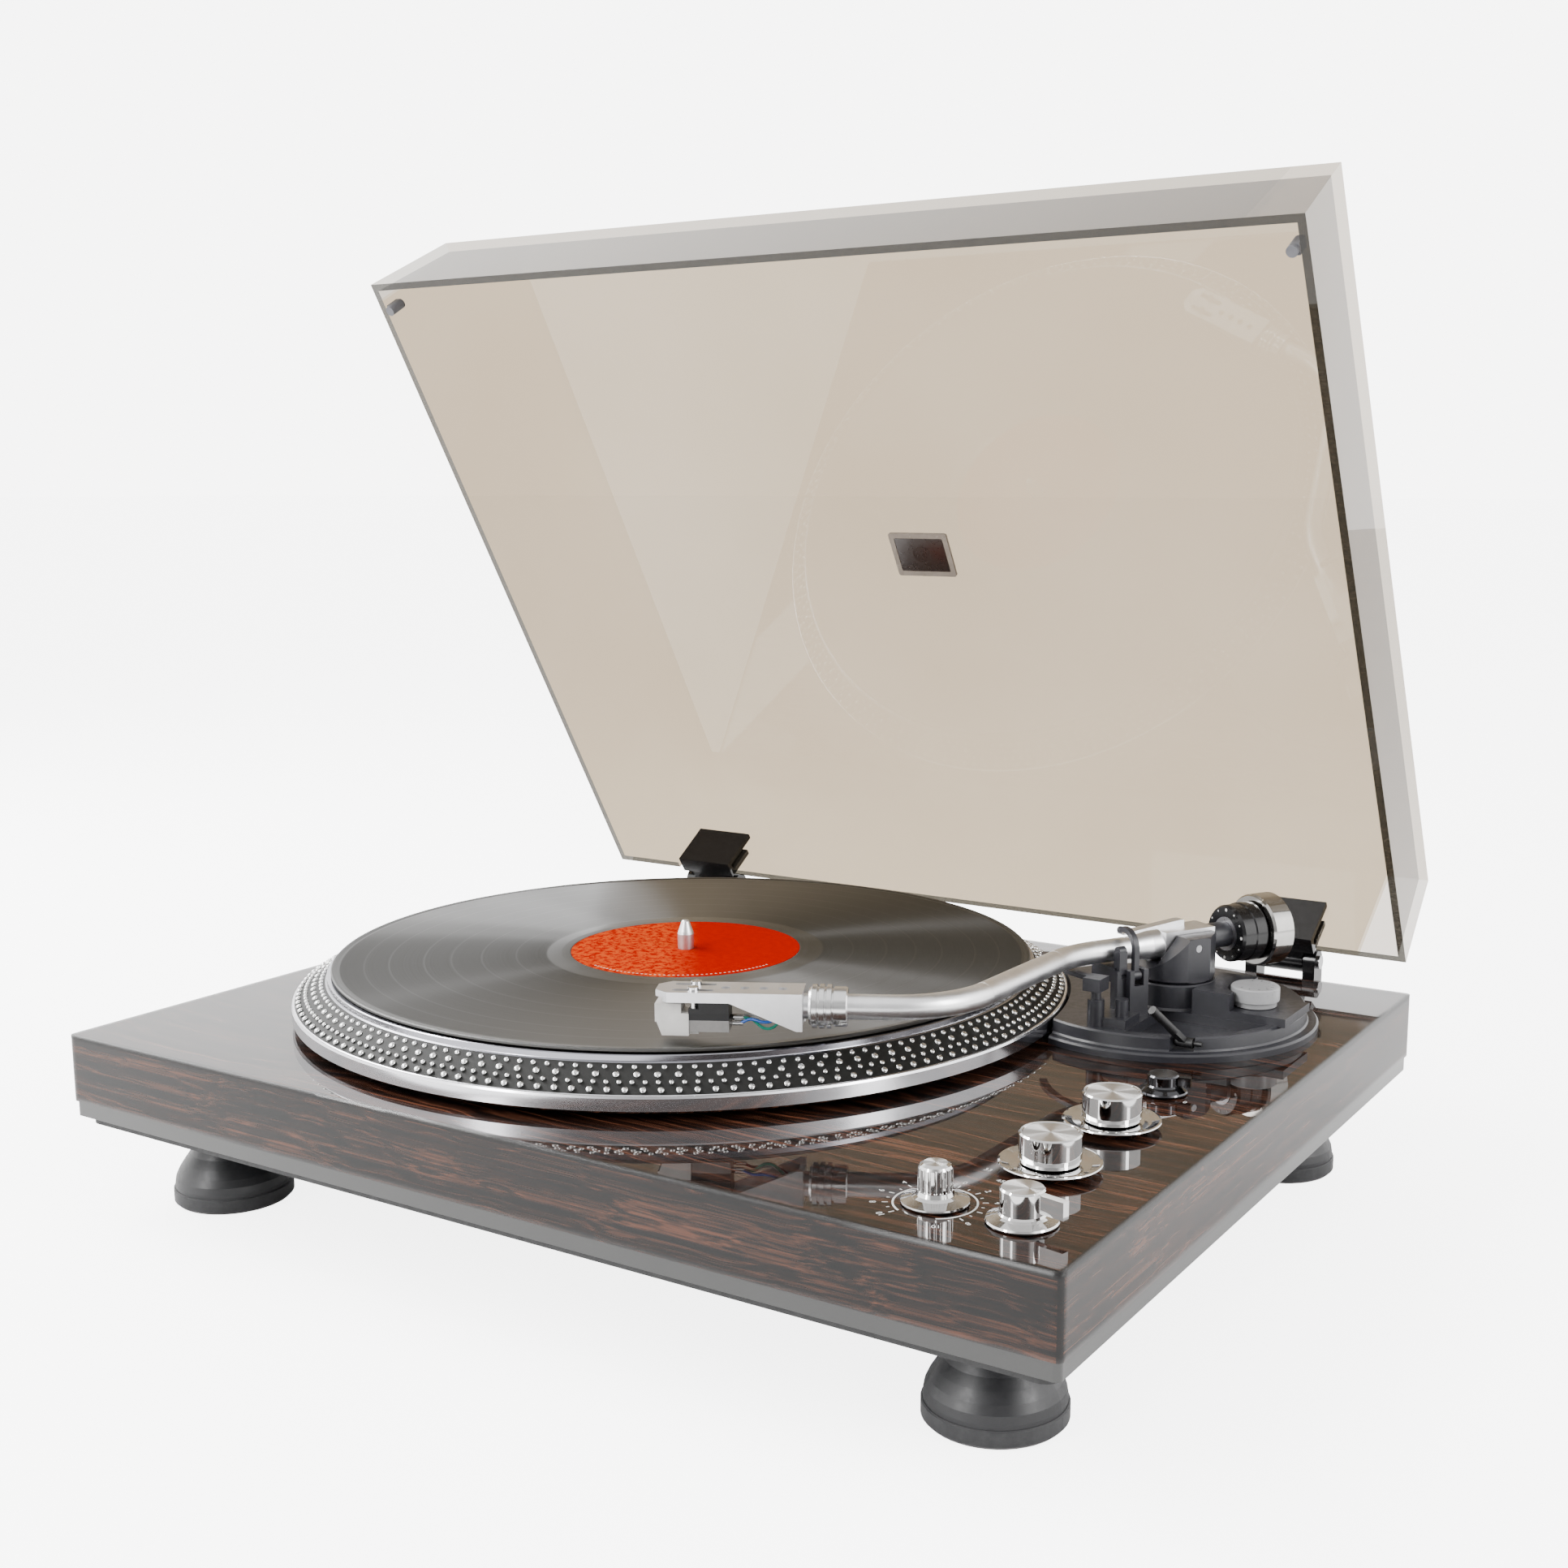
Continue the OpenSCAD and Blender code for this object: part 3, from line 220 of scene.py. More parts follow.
def radial_tangent(s):
    """The direction in which lathe marks and grooves run, about the upright axis."""
    return s.add("Tangent", {"direction_type": "RADIAL", "axis": "Z"})


def plastic(name, colour, roughness=0.4, grain=0.25):
    """Moulded plastic: fine grain in the surface, faint cloudiness and handling marks."""
    s = Shader(name)
    p = s.mm()
    paint, _ = speckled(s, colour, 0.12, 0.12, p)
    fine = s.noise(p, 5.0, 2.0, 0.5)
    wear = s.span(s.noise(p, 0.35, 6.0, 0.7), 0.35, 0.75, roughness * 0.85, roughness * 1.2)
    s.surface(paint, wear, Normal=s.bump(fine, grain, 0.00005))
    return s.owner


def rubber(name, colour, roughness=0.75):
    """Soft rubber: dusty cloudiness and a matt stipple."""
    s = Shader(name)
    p = s.mm()
    dust = s.span(s.noise(p, 0.25, 6.0, 0.7), 0.4, 0.75)
    base, _ = speckled(s, colour, 0.15, 0.3, p)
    paint = s.mix(s.math("MULTIPLY", dust, 0.35), base, tuple(c + 0.05 for c in colour))
    stipple = s.noise(p, 3.5, 3.0, 0.6)
    s.surface(paint, s.span(dust, 0, 1, roughness, roughness + 0.12), Sheen_Weight=0.15,
              Sheen_Roughness=0.4, Normal=s.bump(stipple, 0.3, 0.00006))
    return s.owner


def metal(name, colour, roughness=0.2, smear=0.15, grain=0.03):
    """Plain metal: faint smears in the roughness and a fine tooth."""
    s = Shader(name)
    p = s.mm()
    smears = s.noise(p, 0.12, 5.0, 0.65)
    rough = s.span(smears, 0.3, 0.7, roughness * (1 - smear), roughness * (1 + smear))
    tint, _ = speckled(s, colour, 0.05, 0.2, p)
    s.surface(tint, rough, 1.0, Normal=s.bump(s.noise(p, 6.0, 2.0), grain, 0.00003))
    return s.owner


def turned_metal(name, centre, colour, side_rough, face_rough, above=-1000.0):
    """Metal turned on a lathe: spun rings and a fan of highlights on level faces over `above`."""
    s = Shader(name)
    p = s.mm(centre)
    upright = s.split(s.add("NewGeometry").outputs["Normal"])[2]
    facing = s.span(s.math("ABSOLUTE", upright), 0.85, 0.97)
    facing = s.math("MULTIPLY", facing, s.math("GREATER_THAN", s.split(p)[2], above))
    spun = s.math("MULTIPLY", s.flat_radius(p), 2.6)
    ring = s.noise(s.join(spun, 0.0, 0.0), 3.0, 3.0, 0.6)
    smear = s.noise(p, 0.25, 4.0, 0.6)
    rough_side = s.span(smear, 0.3, 0.7, side_rough * 0.8, side_rough * 1.25)
    rough_face = s.span(ring, 0.3, 0.7, face_rough * 0.8, face_rough * 1.2)
    rough = s.math("ADD", s.math("MULTIPLY", rough_face, facing),
                   s.math("MULTIPLY", rough_side, s.math("SUBTRACT", 1.0, facing)))
    tint, _ = speckled(s, colour, 0.04, 0.3, p)
    bump = s.bump(s.math("MULTIPLY", ring, facing), 0.12, 0.00002)
    s.surface(tint, rough, 1.0, Normal=bump, Anisotropic=s.math("MULTIPLY", facing, 0.95),
              Tangent=radial_tangent(s))
    return s.owner


# ---------------------------------------------------------------- materials of the case

EDGE_WIDTH = 1.7


def veneer():
    """Gloss striped rosewood: near-black and red-brown figure running along each face, with painted
    shade darkening the wood along the plinth's edges.
    """
    s = Shader("veneer_gloss")
    p = s.mm()
    x, y, z = s.split(p)
    side = s.math("GREATER_THAN",
                  s.math("ABSOLUTE", s.split(s.add("NewGeometry").outputs["Normal"])[0]), 0.7)
    flat = s.join(x, y, s.math("ADD", z, 40.0))
    turned = s.join(s.math("ADD", y, 700.0), x, s.math("ADD", z, 90.0))
    run = s.mix(side, flat, turned)
    wander = s.noise(s.vec("MULTIPLY", run, (0.007, 0.015, 0.02)), 1.0, 3.0, 0.5)
    sway = s.math("MULTIPLY", s.math("SUBTRACT", wander, 0.5), 34.0)
    u, v, w = s.split(run)
    v = s.math("ADD", v, sway)
    w = s.math("ADD", w, s.math("MULTIPLY", sway, 0.5))

    def streaks(length, width, height, detail):
        place = s.join(s.math("MULTIPLY", u, length), s.math("MULTIPLY", v, width),
                       s.math("MULTIPLY", w, height))
        return s.noise(place, 1.0, detail, 0.6)

    broad = streaks(0.0025, 0.06, 0.09, 3.0)
    stripe = streaks(0.004, 0.24, 0.30, 4.0)
    thread = streaks(0.008, 0.85, 0.95, 2.0)
    figure = s.math("ADD", s.math("MULTIPLY", broad, 0.2), s.math("MULTIPLY", stripe, 0.4))
    figure = s.math("ADD", figure, s.math("MULTIPLY", thread, 0.4))
    wood = s.ramp(s.span(figure, 0.41, 0.61),
                  [(0.0, (0.0010, 0.0006, 0.0005)), (0.28, (0.0055, 0.0022, 0.0014)),
                   (0.5, (0.015, 0.0055, 0.0030)), (0.72, (0.034, 0.0122, 0.0064)),
                   (1.0, (0.070, 0.0240, 0.0122))])
    dark_line = s.span(streaks(0.006, 0.6, 0.75, 2.0), 0.40, 0.47, 0.2, 1.0, smooth=True)
    # Painted shade: where a point lies within EDGE_WIDTH of two faces, the wood colour is darkened to
    # 0.12, a dark line along the plinth's edges; dark_line itself is grain.
    low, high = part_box("plinth_body")
    gaps = (s.math("SUBTRACT", high.x / MM, s.math("ABSOLUTE", x)),
            s.math("SUBTRACT", y, low.y / MM), s.math("SUBTRACT", high.y / MM, y),
            s.math("SUBTRACT", high.z / MM, z))
    near = 0.0
    for gap in gaps:
        near = s.math("ADD", near, s.math("LESS_THAN", gap, EDGE_WIDTH))
    grain_and_edge_shade = s.math("MULTIPLY", dark_line, s.span(near, 1.4, 1.6, 1.0, 0.12))
    wood = s.vec("MULTIPLY", wood, s.join(grain_and_edge_shade, grain_and_edge_shade, grain_and_edge_shade))
    soft_edge = s.add("Bevel", {"samples": 6}, Radius=EDGE_WIDTH * 2.0 * MM)
    s.surface(wood, s.span(stripe, 0.3, 0.7, 0.5, 0.4), Coat_Weight=0.88,
              Coat_Roughness=0.01, Coat_IOR=1.42, Specular_IOR_Level=0.03,
              Normal=soft_edge, Coat_Normal=soft_edge)
    return s.owner


def dark_lacquer():
    """Grey-black lacquer of the base frame, glossy with a faint wipe pattern."""
    s = Shader("dark_lacquer")
    p = s.mm()
    paint, _ = speckled(s, (0.012, 0.012, 0.011), 0.2, 0.03, p)
    wipe = s.noise(s.vec("MULTIPLY", p, (0.01, 0.01, 0.4)), 1.0, 3.0)
    s.surface(paint, s.span(wipe, 0.3, 0.7, 0.16, 0.26), Coat_Weight=0.6, Coat_Roughness=0.05,
              Coat_IOR=1.55)
    return s.owner


# ---------------------------------------------------------------- materials of the platter

PAINT_INNER, PAINT_OUTER, PAINT_FLOOR, LIP_FLOOR = 153.2, 165.9, 9.0, 17.0
GROOVES_INNER, GROOVES_OUTER = 60.0, 147.4
LABEL_TICKS_RADIUS = 47.0


def platter_metal():
    """Turned aluminium with a dark painted strobe slope between its bright edges; above LIP_FLOOR the
    polished metal is given a darker grey-blue colour as painted shade.
    """
    s = Shader("platter_turned")
    p = s.mm(deck(*SPINDLE, 0))
    x, y, z = s.split(p)
    radius = s.flat_radius(p)
    inside = s.math("MULTIPLY", s.math("GREATER_THAN", radius, PAINT_INNER),
                    s.math("LESS_THAN", radius, PAINT_OUTER))
    sloped = s.math("MULTIPLY", inside, s.math("GREATER_THAN", z, PAINT_FLOOR))
    turning = s.join(s.math("MULTIPLY", radius, 1.4), s.math("MULTIPLY", z, 3.0), 0.0)
    ring = s.noise(turning, 2.0, 4.0, 0.7)
    around = s.math("MULTIPLY", s.math("ARCTAN2", y, x), 2.2)
    patch = s.noise(s.join(around, s.math("MULTIPLY", z, 0.05), 0.0), 1.0, 3.0, 0.6)
    # Painted shade: the polished ring above LIP_FLOOR takes a dark grey-blue copy of the silver, so
    # bright holds the silver together with this painted shade.
    shaded_lip = s.math("GREATER_THAN", z, LIP_FLOOR)
    silver, _ = speckled(s, (0.74, 0.74, 0.77), 0.04, 0.05, p)
    bright = s.mix(shaded_lip, silver, (0.30, 0.30, 0.33))
    paint, _ = speckled(s, (0.006, 0.006, 0.0055), 0.25, 0.25, p)
    rough = s.math("ADD", s.span(ring, 0.3, 0.7, 0.08, 0.16), s.span(patch, 0.3, 0.8, 0.0, 0.1))
    s.surface(s.mix(sloped, bright, paint), s.mix(sloped, rough, (0.5, 0.5, 0.5)),
              s.math("SUBTRACT", 1.0, sloped), Specular_IOR_Level=0.2,
              Normal=s.bump(ring, 0.02, 0.00003), Anisotropic=0.6, Tangent=radial_tangent(s))
    return s.owner


def vinyl():
    """Pressed record: grooves that fan the light, bands between tracks, smooth rim and lead-out."""
    s = Shader("record_grooved")
    p = s.mm(deck(*SPINDLE, 0))
    radius = s.flat_radius(p)
    grooved = s.math("MULTIPLY", s.span(radius, GROOVES_INNER, GROOVES_INNER + 0.8),
                     s.span(radius, GROOVES_OUTER, GROOVES_OUTER - 0.6))
    quiet = 0.0
    for gap in TRACK_GAPS:
        near = s.math("LESS_THAN", s.math("ABSOLUTE", s.math("SUBTRACT", radius, gap)), 0.4)
        quiet = s.math("MAXIMUM", s.math("MULTIPLY", near, 0.4), quiet)
    cut = s.math("MULTIPLY", grooved, s.math("SUBTRACT", 1.0, quiet))
    loud = s.noise(s.join(s.math("MULTIPLY", radius, 0.9), 0.0, 0.0), 1.0, 4.0, 0.8)
    fine = s.noise(s.join(s.math("MULTIPLY", radius, 9.0), 0.0, 0.0), 1.0, 2.0, 0.8)
    rough = s.span(loud, 0.3, 0.7, 0.38, 0.44)
    rough = s.math("ADD", s.math("MULTIPLY", cut, rough),
                   s.math("MULTIPLY", s.math("SUBTRACT", 1.0, cut), 0.3))
    black = s.ramp(loud, [(0.3, (0.007, 0.0066, 0.0052)), (0.7, (0.013, 0.012, 0.0092))])
    height = s.math("MULTIPLY", cut, s.math("ADD", fine, loud))
    dust = s.noise(p, 1.1, 2.0, 0.5)
    black = s.mix(s.span(dust, 0.74, 0.8, 0.0, 0.25), black, (0.1, 0.1, 0.1))
    s.surface(black, rough, Anisotropic=1.0, Normal=s.bump(height, 0.12, 0.00004), IOR=1.62,
              Tangent=radial_tangent(s))
    return s.owner


def label_print():
    """Red paper label with a mottled orange half and a short arc of plain printed ticks."""
    s = Shader("label_print")
    p = s.mm(deck(*SPINDLE, 0))
    x, y, _ = s.split(p)
    radius = s.flat_radius(p)
    angle = s.math("ARCTAN2", y, x)
    mottle = s.noise(p, 0.32, 6.0, 0.75)
    half = s.span(s.vec("DOT_PRODUCT", p, (-0.8, -0.6, 0.0)), -6.0, 10.0)
    spots = s.math("MULTIPLY", s.span(mottle, 0.45, 0.53), half)
    red = s.mix(s.span(mottle, 0.3, 0.7), (0.21, 0.0012, 0.0002), (0.28, 0.0025, 0.0003))
    paper = s.mix(s.math("MULTIPLY", spots, 0.9), red, (0.40, 0.050, 0.006))
    ticks = s.math("GREATER_THAN", s.math("SINE", s.math("MULTIPLY", angle, 150.0)), 0.15)
    from_row = s.math("ABSOLUTE", s.math("SUBTRACT", radius, LABEL_TICKS_RADIUS))
    row = s.math("LESS_THAN", from_row, 0.5)
    arc = s.math("LESS_THAN", s.math("ABSOLUTE", s.math("ADD", angle, 1.0)), 0.9)
    marks = s.math("MULTIPLY", row, s.math("MULTIPLY", ticks, arc))
    paper = s.mix(s.math("MULTIPLY", marks, 0.75), paper, (0.5, 0.42, 0.32))
    fibre = s.noise(p, 2.5, 3.0, 0.6)
    s.surface(paper, s.span(fibre, 0.3, 0.7, 0.5, 0.6), Normal=s.bump(fibre, 0.15, 0.00004),
              Specular_IOR_Level=0.0)
    return s.owner


# ---------------------------------------------------------------- lid

LID_RIM, LID_RIM_TOP, LID_RIGHT, LID_FRONT = 1.5, 2.6, 200.0, -350.0


def smoked_acrylic():
    """Clear smoked acrylic: tinted see-through faces, mirror sheen, dark cut rim, fine scuffs; the
    front and right walls take lighter tints as painted light.
    """
    s = Shader("smoked_acrylic")
    p = s.mm(deck(0, HINGE_Y, HINGE_Z))
    up = (0.0, *reversed(polar(1.0, LID_OPEN)))
    back_to_hinge = (0.0, up[2], -up[1])
    height = s.math("ADD", s.vec("DOT_PRODUCT", p, up), HINGE_Z - LID_RIM)
    geometry = s.add("NewGeometry")
    squareness = s.math("ABSOLUTE", s.vec("DOT_PRODUCT", geometry.outputs["Normal"], up))
    rim = s.math("MULTIPLY", s.math("LESS_THAN", height, LID_RIM_TOP),
                 s.math("GREATER_THAN", squareness, 0.9))
    cloud = s.noise(p, 0.006, 3.0, 0.5)
    tint = s.mix(s.span(cloud, 0.3, 0.7), (0.424, 0.379, 0.316), (0.444, 0.399, 0.338))
    # Painted light: the front and right walls get lighter copies of the smoke tint, so they show
    # brighter than the top.
    wall = s.math("LESS_THAN", squareness, 0.5)
    along = s.vec("DOT_PRODUCT", p, back_to_hinge)
    right = s.math("MULTIPLY", wall, s.math("GREATER_THAN", s.split(p)[0], LID_RIGHT))
    front = s.math("MULTIPLY", wall, s.math("LESS_THAN", along, LID_FRONT))
    tint = s.mix(front, tint, (0.47, 0.45, 0.42))
    tint = s.mix(right, tint, (0.57, 0.545, 0.515))
    tint = s.mix(rim, tint, (0.08, 0.08, 0.075))
    clear = s.add("BsdfTransparent", Color=tint)
    scuff = s.span(s.noise(p, 0.6, 6.0, 0.8), 0.62, 0.8, 0.0, 0.05)
    haze = s.add("BsdfDiffuse", Color=(0.30, 0.27, 0.22), Roughness=0.5)
    body = s.blend(s.math("ADD", 0.04, scuff), clear, haze)
    sheen = s.add("BsdfGlossy", Color=(0.95, 0.95, 0.95), Roughness=0.015)
    outside = s.math("SUBTRACT", 1.0, geometry.outputs["Backfacing"])
    fresnel = s.math("MULTIPLY", s.add("Fresnel", IOR=1.45), outside)
    s.plug(s.out.inputs["Surface"], s.blend(fresnel, body, sheen))
    return s.owner


# ---------------------------------------------------------------- mesh helpers

SMOOTH_CAD, SMOOTH_MADE, SMOOTH_DOT = math.radians(32), math.radians(35), math.radians(60)


def new_mesh(name, body, material, slot):
    """An empty mesh object that rides a body, and the bmesh to fill."""
    data = bpy.data.meshes.new(name)
    obj = bpy.data.objects.new(name, data)
    bpy.context.scene.collection.objects.link(obj)
    data.materials.append(material)
    return obj, bmesh.new(), body, slot


def close_mesh(parts, smooth=SMOOTH_MADE):
    """Fills the object from its bmesh and hands it to its body."""
    obj, bm, body, slot = parts
    bmesh.ops.recalc_face_normals(bm, faces=bm.faces)
    bm.to_mesh(obj.data)
    bm.free()
    smooth_by_angle(obj, smooth)
    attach(obj, body)
    return obj


def smooth_by_angle(obj, angle):
    data = obj.data
    data.polygons.foreach_set("use_smooth", [True] * len(data.polygons))
    data.set_sharp_from_angle(angle=angle)


def add_box(bm, matrix, low, high, bevel=0.0):
    """A box between two corners in the matrix's frame, its edges rounded by `bevel`."""
    size = [b - a for a, b in zip(low, high)]
    mid = [(a + b) / 2 for a, b in zip(low, high)]
    place = matrix @ Matrix.Translation(mid) @ Matrix.Diagonal((*size, 1))
    made = bmesh.ops.create_cube(bm, size=1.0, matrix=place)
    if bevel:
        edges = list({e for v in made["verts"] for e in v.link_edges})
        bmesh.ops.bevel(bm, geom=edges, offset=bevel * MM, segments=2, profile=0.5,
                        affect="EDGES", clamp_overlap=True)


def add_lathe(bm, matrix, profile, steps=64, sweep=360.0, start=0.0):
    """A turned shape: profile points are (radius, height) about the matrix's Z axis."""
    full = sweep >= 360.0
    count = steps if full else steps + 1
    rings = []
    for i in range(count):
        a = math.radians(start + sweep * i / steps)
        ring = []
        for r, h in profile:
            if r < 1e-6 and i and full:
                ring.append(rings[0][len(ring)])
            else:
                ring.append(bm.verts.new(matrix @ Vector((r * math.cos(a), r * math.sin(a), h))))
        rings.append(ring)
    for i in range(steps):
        here, there = rings[i], rings[(i + 1) % count]
        for k in range(len(profile) - 1):
            quad = [here[k], there[k], there[k + 1], here[k + 1]]
            corners = list(dict.fromkeys(quad))
            if len(corners) > 2:
                bm.faces.new(corners)
    if not full:
        for ring in (rings[0], rings[-1]):
            bm.faces.new(ring)


def add_tube(bm, points, radius, steps=10):
    """A round tube through points of the row frame, closed at both ends."""
    rings = []
    side = None
    for i, here in enumerate(points):
        before, after = points[max(i - 1, 0)], points[min(i + 1, len(points) - 1)]
        forward = (after - before).normalized()
        if side is None:
            side = forward.orthogonal().normalized()
        side = (side - forward * side.dot(forward)).normalized()
        other = forward.cross(side)
        rings.append([bm.verts.new(here + (side * math.cos(a) + other * math.sin(a)) * radius)
                      for a in (2 * math.pi * k / steps for k in range(steps))])
    for a, b in zip(rings, rings[1:]):
        for k in range(steps):
            bm.faces.new((a[k], a[(k + 1) % steps], b[(k + 1) % steps], b[k]))
    bm.faces.new(rings[0])
    bm.faces.new(rings[-1])


def along_curve(knots, count):
    """Points on a smooth curve through knots."""
    points = []
    padded = [knots[0] * 2 - knots[1]] + list(knots) + [knots[-1] * 2 - knots[-2]]
    spans = len(knots) - 1
    for i in range(count + 1):
        t = i / count * spans
        k = min(int(t), spans - 1)
        t -= k
        a, b, c, d = padded[k:k + 4]
        points.append(0.5 * ((2 * b) + (c - a) * t + (2 * a - 5 * b + 4 * c - d) * t * t
                             + (3 * b - a - 3 * c + d) * t * t * t))
    return points


# ---------------------------------------------------------------- finishes

chrome = metal("chrome_bright", (0.62, 0.62, 0.62), 0.05, 0.3, 0.01)
graphite = plastic("graphite_moulded", (0.016, 0.016, 0.02), 0.36, 0.3)
gloss_black = plastic("gloss_black", (0.004, 0.004, 0.0045), 0.16, 0.06)
satin_silver = metal("satin_silver", (0.84, 0.84, 0.85), 0.34, 0.15, 0.05)
shell_silver = metal("shell_silver", (0.74, 0.74, 0.75), 0.36, 0.15, 0.1)
white_print = plastic("white_print", (0.5, 0.5, 0.49), 0.5, 0.1)
screw_steel = metal("screw_steel", (0.5, 0.5, 0.51), 0.25, 0.2, 0.1)
hinge_black = plastic("hinge_black", (0.005, 0.005, 0.0055), 0.2, 0.12)


def knob_finish(name, node, spot):
    """Chrome with a spun top; its skirt and sides stay mirror bright."""
    top = (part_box(node)[1].z - deck(0, 0, 0).z) / MM - 1.2
    return turned_metal(name, deck(*spot, 0), (0.64, 0.635, 0.63), 0.05, 0.42, top)


def cartridge_finish():
    """Grey metal cartridge body under a black moulded mount."""
    s = Shader("cartridge_two_tone")
    p = s.mm(deck(0, 0, ARM_Z))
    mount = s.math("GREATER_THAN", s.split(p)[2], -4.9)
    grey, cloud = speckled(s, (0.17, 0.165, 0.16), 0.1, 0.3, p)
    brushed = s.noise(s.vec("MULTIPLY", p, (0.4, 0.4, 6.0)), 1.0, 3.0, 0.6)
    rough = s.math("ADD", s.span(brushed, 0.3, 0.7, 0.3, 0.42), s.math("MULTIPLY", cloud, 0.05))
    s.surface(s.mix(mount, grey, (0.004, 0.004, 0.0045)), rough, Specular_IOR_Level=0.4,
              Normal=s.bump(brushed, 0.1, 0.00003))
    return s.owner


FINISH = {
    "plinth_body": veneer(),
    "base_frame": dark_lacquer(),
    "base_panel": plastic("bottom_panel", (0.012, 0.012, 0.0125), 0.6, 0.4),
    "feet": plastic("foot_charcoal", (0.009, 0.009, 0.0105), 0.42, 0.35),
    "foot_pads": rubber("foot_rubber", (0.012, 0.012, 0.0135), 0.62),
    "panel_screws": screw_steel,
    "rear_panel": plastic("terminal_plate", (0.01, 0.01, 0.011), 0.45, 0.3),
    "rca_jacks": metal("terminal_gold", (0.62, 0.42, 0.15), 0.18),
    "ground_post": chrome,
    "ground_nut": metal("nut_nickel", (0.78, 0.77, 0.74), 0.2),
    "power_inlet": gloss_black,
    "power_rocker": gloss_black,
    "output_switch": gloss_black,
    "bearing_housing": metal("bearing_alloy", (0.6, 0.61, 0.63), 0.3),
    "spindle_shaft": metal("spindle_steel", (0.7, 0.7, 0.7), 0.36, 0.2, 0.05),
    "platter": platter_metal(),
    "platter_mat": rubber("mat_rubber", (0.006, 0.006, 0.006), 0.7),
    "record": vinyl(),
    "record_label": label_print(),
    "motor_body": metal("motor_alloy", (0.5, 0.51, 0.53), 0.35),
    "drive_screws": screw_steel,
    "motor_pulley": metal("pulley_brass", (0.6, 0.42, 0.17), 0.2),
    "drive_belt": rubber("belt_rubber", (0.006, 0.006, 0.006), 0.6),
    "control_board": plastic("circuit_board", (0.007, 0.045, 0.018), 0.3, 0.3),
    "control_pots": metal("pot_steel", (0.5, 0.51, 0.53), 0.35),
    "pitch_knob": knob_finish("pitch_chrome", "pitch_knob", PITCH_AT),
    "speed_knob": knob_finish("speed_chrome", "speed_knob", SPEED_AT),
    "mode_knob": knob_finish("mode_chrome", "mode_knob", MODE_AT),
    "return_knob": knob_finish("return_chrome", "return_knob", RETURN_AT),
    "cue_knob": turned_metal("cue_dark_chrome", deck(*CUE_AT, 0), (0.07, 0.07, 0.075), 0.08, 0.3),
    "speed_bezel": chrome,
    "mode_bezel": chrome,
    "arm_base": graphite,
    "arm_pedestal": graphite,
    "antiskate_knob": plastic("antiskate_silver", (0.25, 0.25, 0.255), 0.32, 0.1),
    "yaw_housing": graphite,
    "pivot_screws": metal("pivot_steel", (0.3, 0.3, 0.31), 0.25, 0.2, 0.05),
    "arm_tube": satin_silver,
    "arm_holder": shell_silver,
    "locking_collar": metal("collar_satin", (0.78, 0.78, 0.78), 0.22, 0.2, 0.05),
    "headshell": shell_silver,
    "headshell_screws": chrome,
    "cartridge_body": cartridge_finish(),
    "stylus_block": plastic("stylus_ivory", (0.5, 0.49, 0.47), 0.4, 0.2),
    "stylus_tip": chrome,
    "lead_wires": plastic("lead_blue", (0.006, 0.04, 0.2), 0.35),
    "rear_shaft": graphite,
    "weight_sleeve": metal("sleeve_steel", (0.4, 0.4, 0.42), 0.3),
    "dial_ring": gloss_black,
    "counterweight": metal("weight_chrome", (0.5, 0.49, 0.47), 0.1, 0.2, 0.0),
    "cue_lever": plastic("lever_black", (0.0025, 0.0025, 0.003), 0.5, 0.1),
    "lift_rail": graphite,
    "arm_rest": graphite,
    "rest_clip": graphite,
    "lid": smoked_acrylic(),
    "lid_badge": plastic("badge_frame", (0.2, 0.17, 0.14), 0.25, 0.05),
    "lid_bumpers": rubber("bumper_rubber", (0.09, 0.09, 0.1), 0.5),
    "hinge_bases": hinge_black,
    "hinge_leaves": hinge_black,
    "hinge_pins": screw_steel,
}

ROUNDED = {
    "base_frame": 0.4, "arm_base": 0.35, "arm_pedestal": 0.3, "yaw_housing": 0.35,
    "arm_holder": 0.5, "headshell": 0.25, "cartridge_body": 0.25, "stylus_block": 0.35,
    "lift_rail": 0.3, "arm_rest": 0.3, "rest_clip": 0.3, "hinge_bases": 0.6, "hinge_leaves": 0.7,
    "cue_lever": 0.25, "lid_badge": 0.2, "speed_bezel": 0.8, "mode_bezel": 0.8, "speed_knob": 0.5,
    "mode_knob": 0.5, "pitch_knob": 0.35, "return_knob": 0.4, "cue_knob": 0.3, "lid_bumpers": 0.3,
    "base_panel": 0.6, "rear_panel": 0.2,
}


def round_edges(obj, width):
    """Softens a CAD node's hard edges so that they catch the light."""
    bevel = obj.modifiers.new("edge_round", "BEVEL")
    bevel.width = width * MM
    bevel.segments = 2
    bevel.limit_method = "ANGLE"
    bevel.angle_limit = math.radians(40)
    bevel.harden_normals = True


for name, obj in nodes.items():
    obj.data.materials.clear()
    obj.data.materials.append(FINISH[name])
    smooth_by_angle(obj, SMOOTH_CAD)
    if name in ROUNDED:
        round_edges(obj, ROUNDED[name])


# ---------------------------------------------------------------- small parts


def strobe_dots():
    """Four rings of raised bright dots on the platter's slope."""
    rows = ((0.16, 180, 2.1), (0.388, 133, 2.7), (0.628, 216, 1.9), (0.856, 160, 2.5))
    slope = Vector(SLOPE_LOW) - Vector(SLOPE_HIGH)
    lean = math.atan2(-slope.y, slope.x)
    parts = new_mesh("strobe_dots", "turntable", metal("dot_metal", (0.7, 0.7, 0.69), 0.2, 0.2, 0.05),
                     "platter_aluminium")
    bm = parts[1]
    for fraction, count, size in rows:
        r, z = Vector(SLOPE_HIGH) + slope * fraction
        profile = [(size * 0.5, -0.15), (size * 0.47, 0.35), (size * 0.3, 0.62), (0.0, 0.7)]
        for i in range(count):
            turn = deck_matrix(*SPINDLE, 0, 360.0 * i / count)
            place = turn @ Matrix.Translation((r, 0, z)) @ Matrix.Rotation(lean, 4, "Y")
            add_lathe(bm, place, profile, 10)
    close_mesh(parts, SMOOTH_DOT)


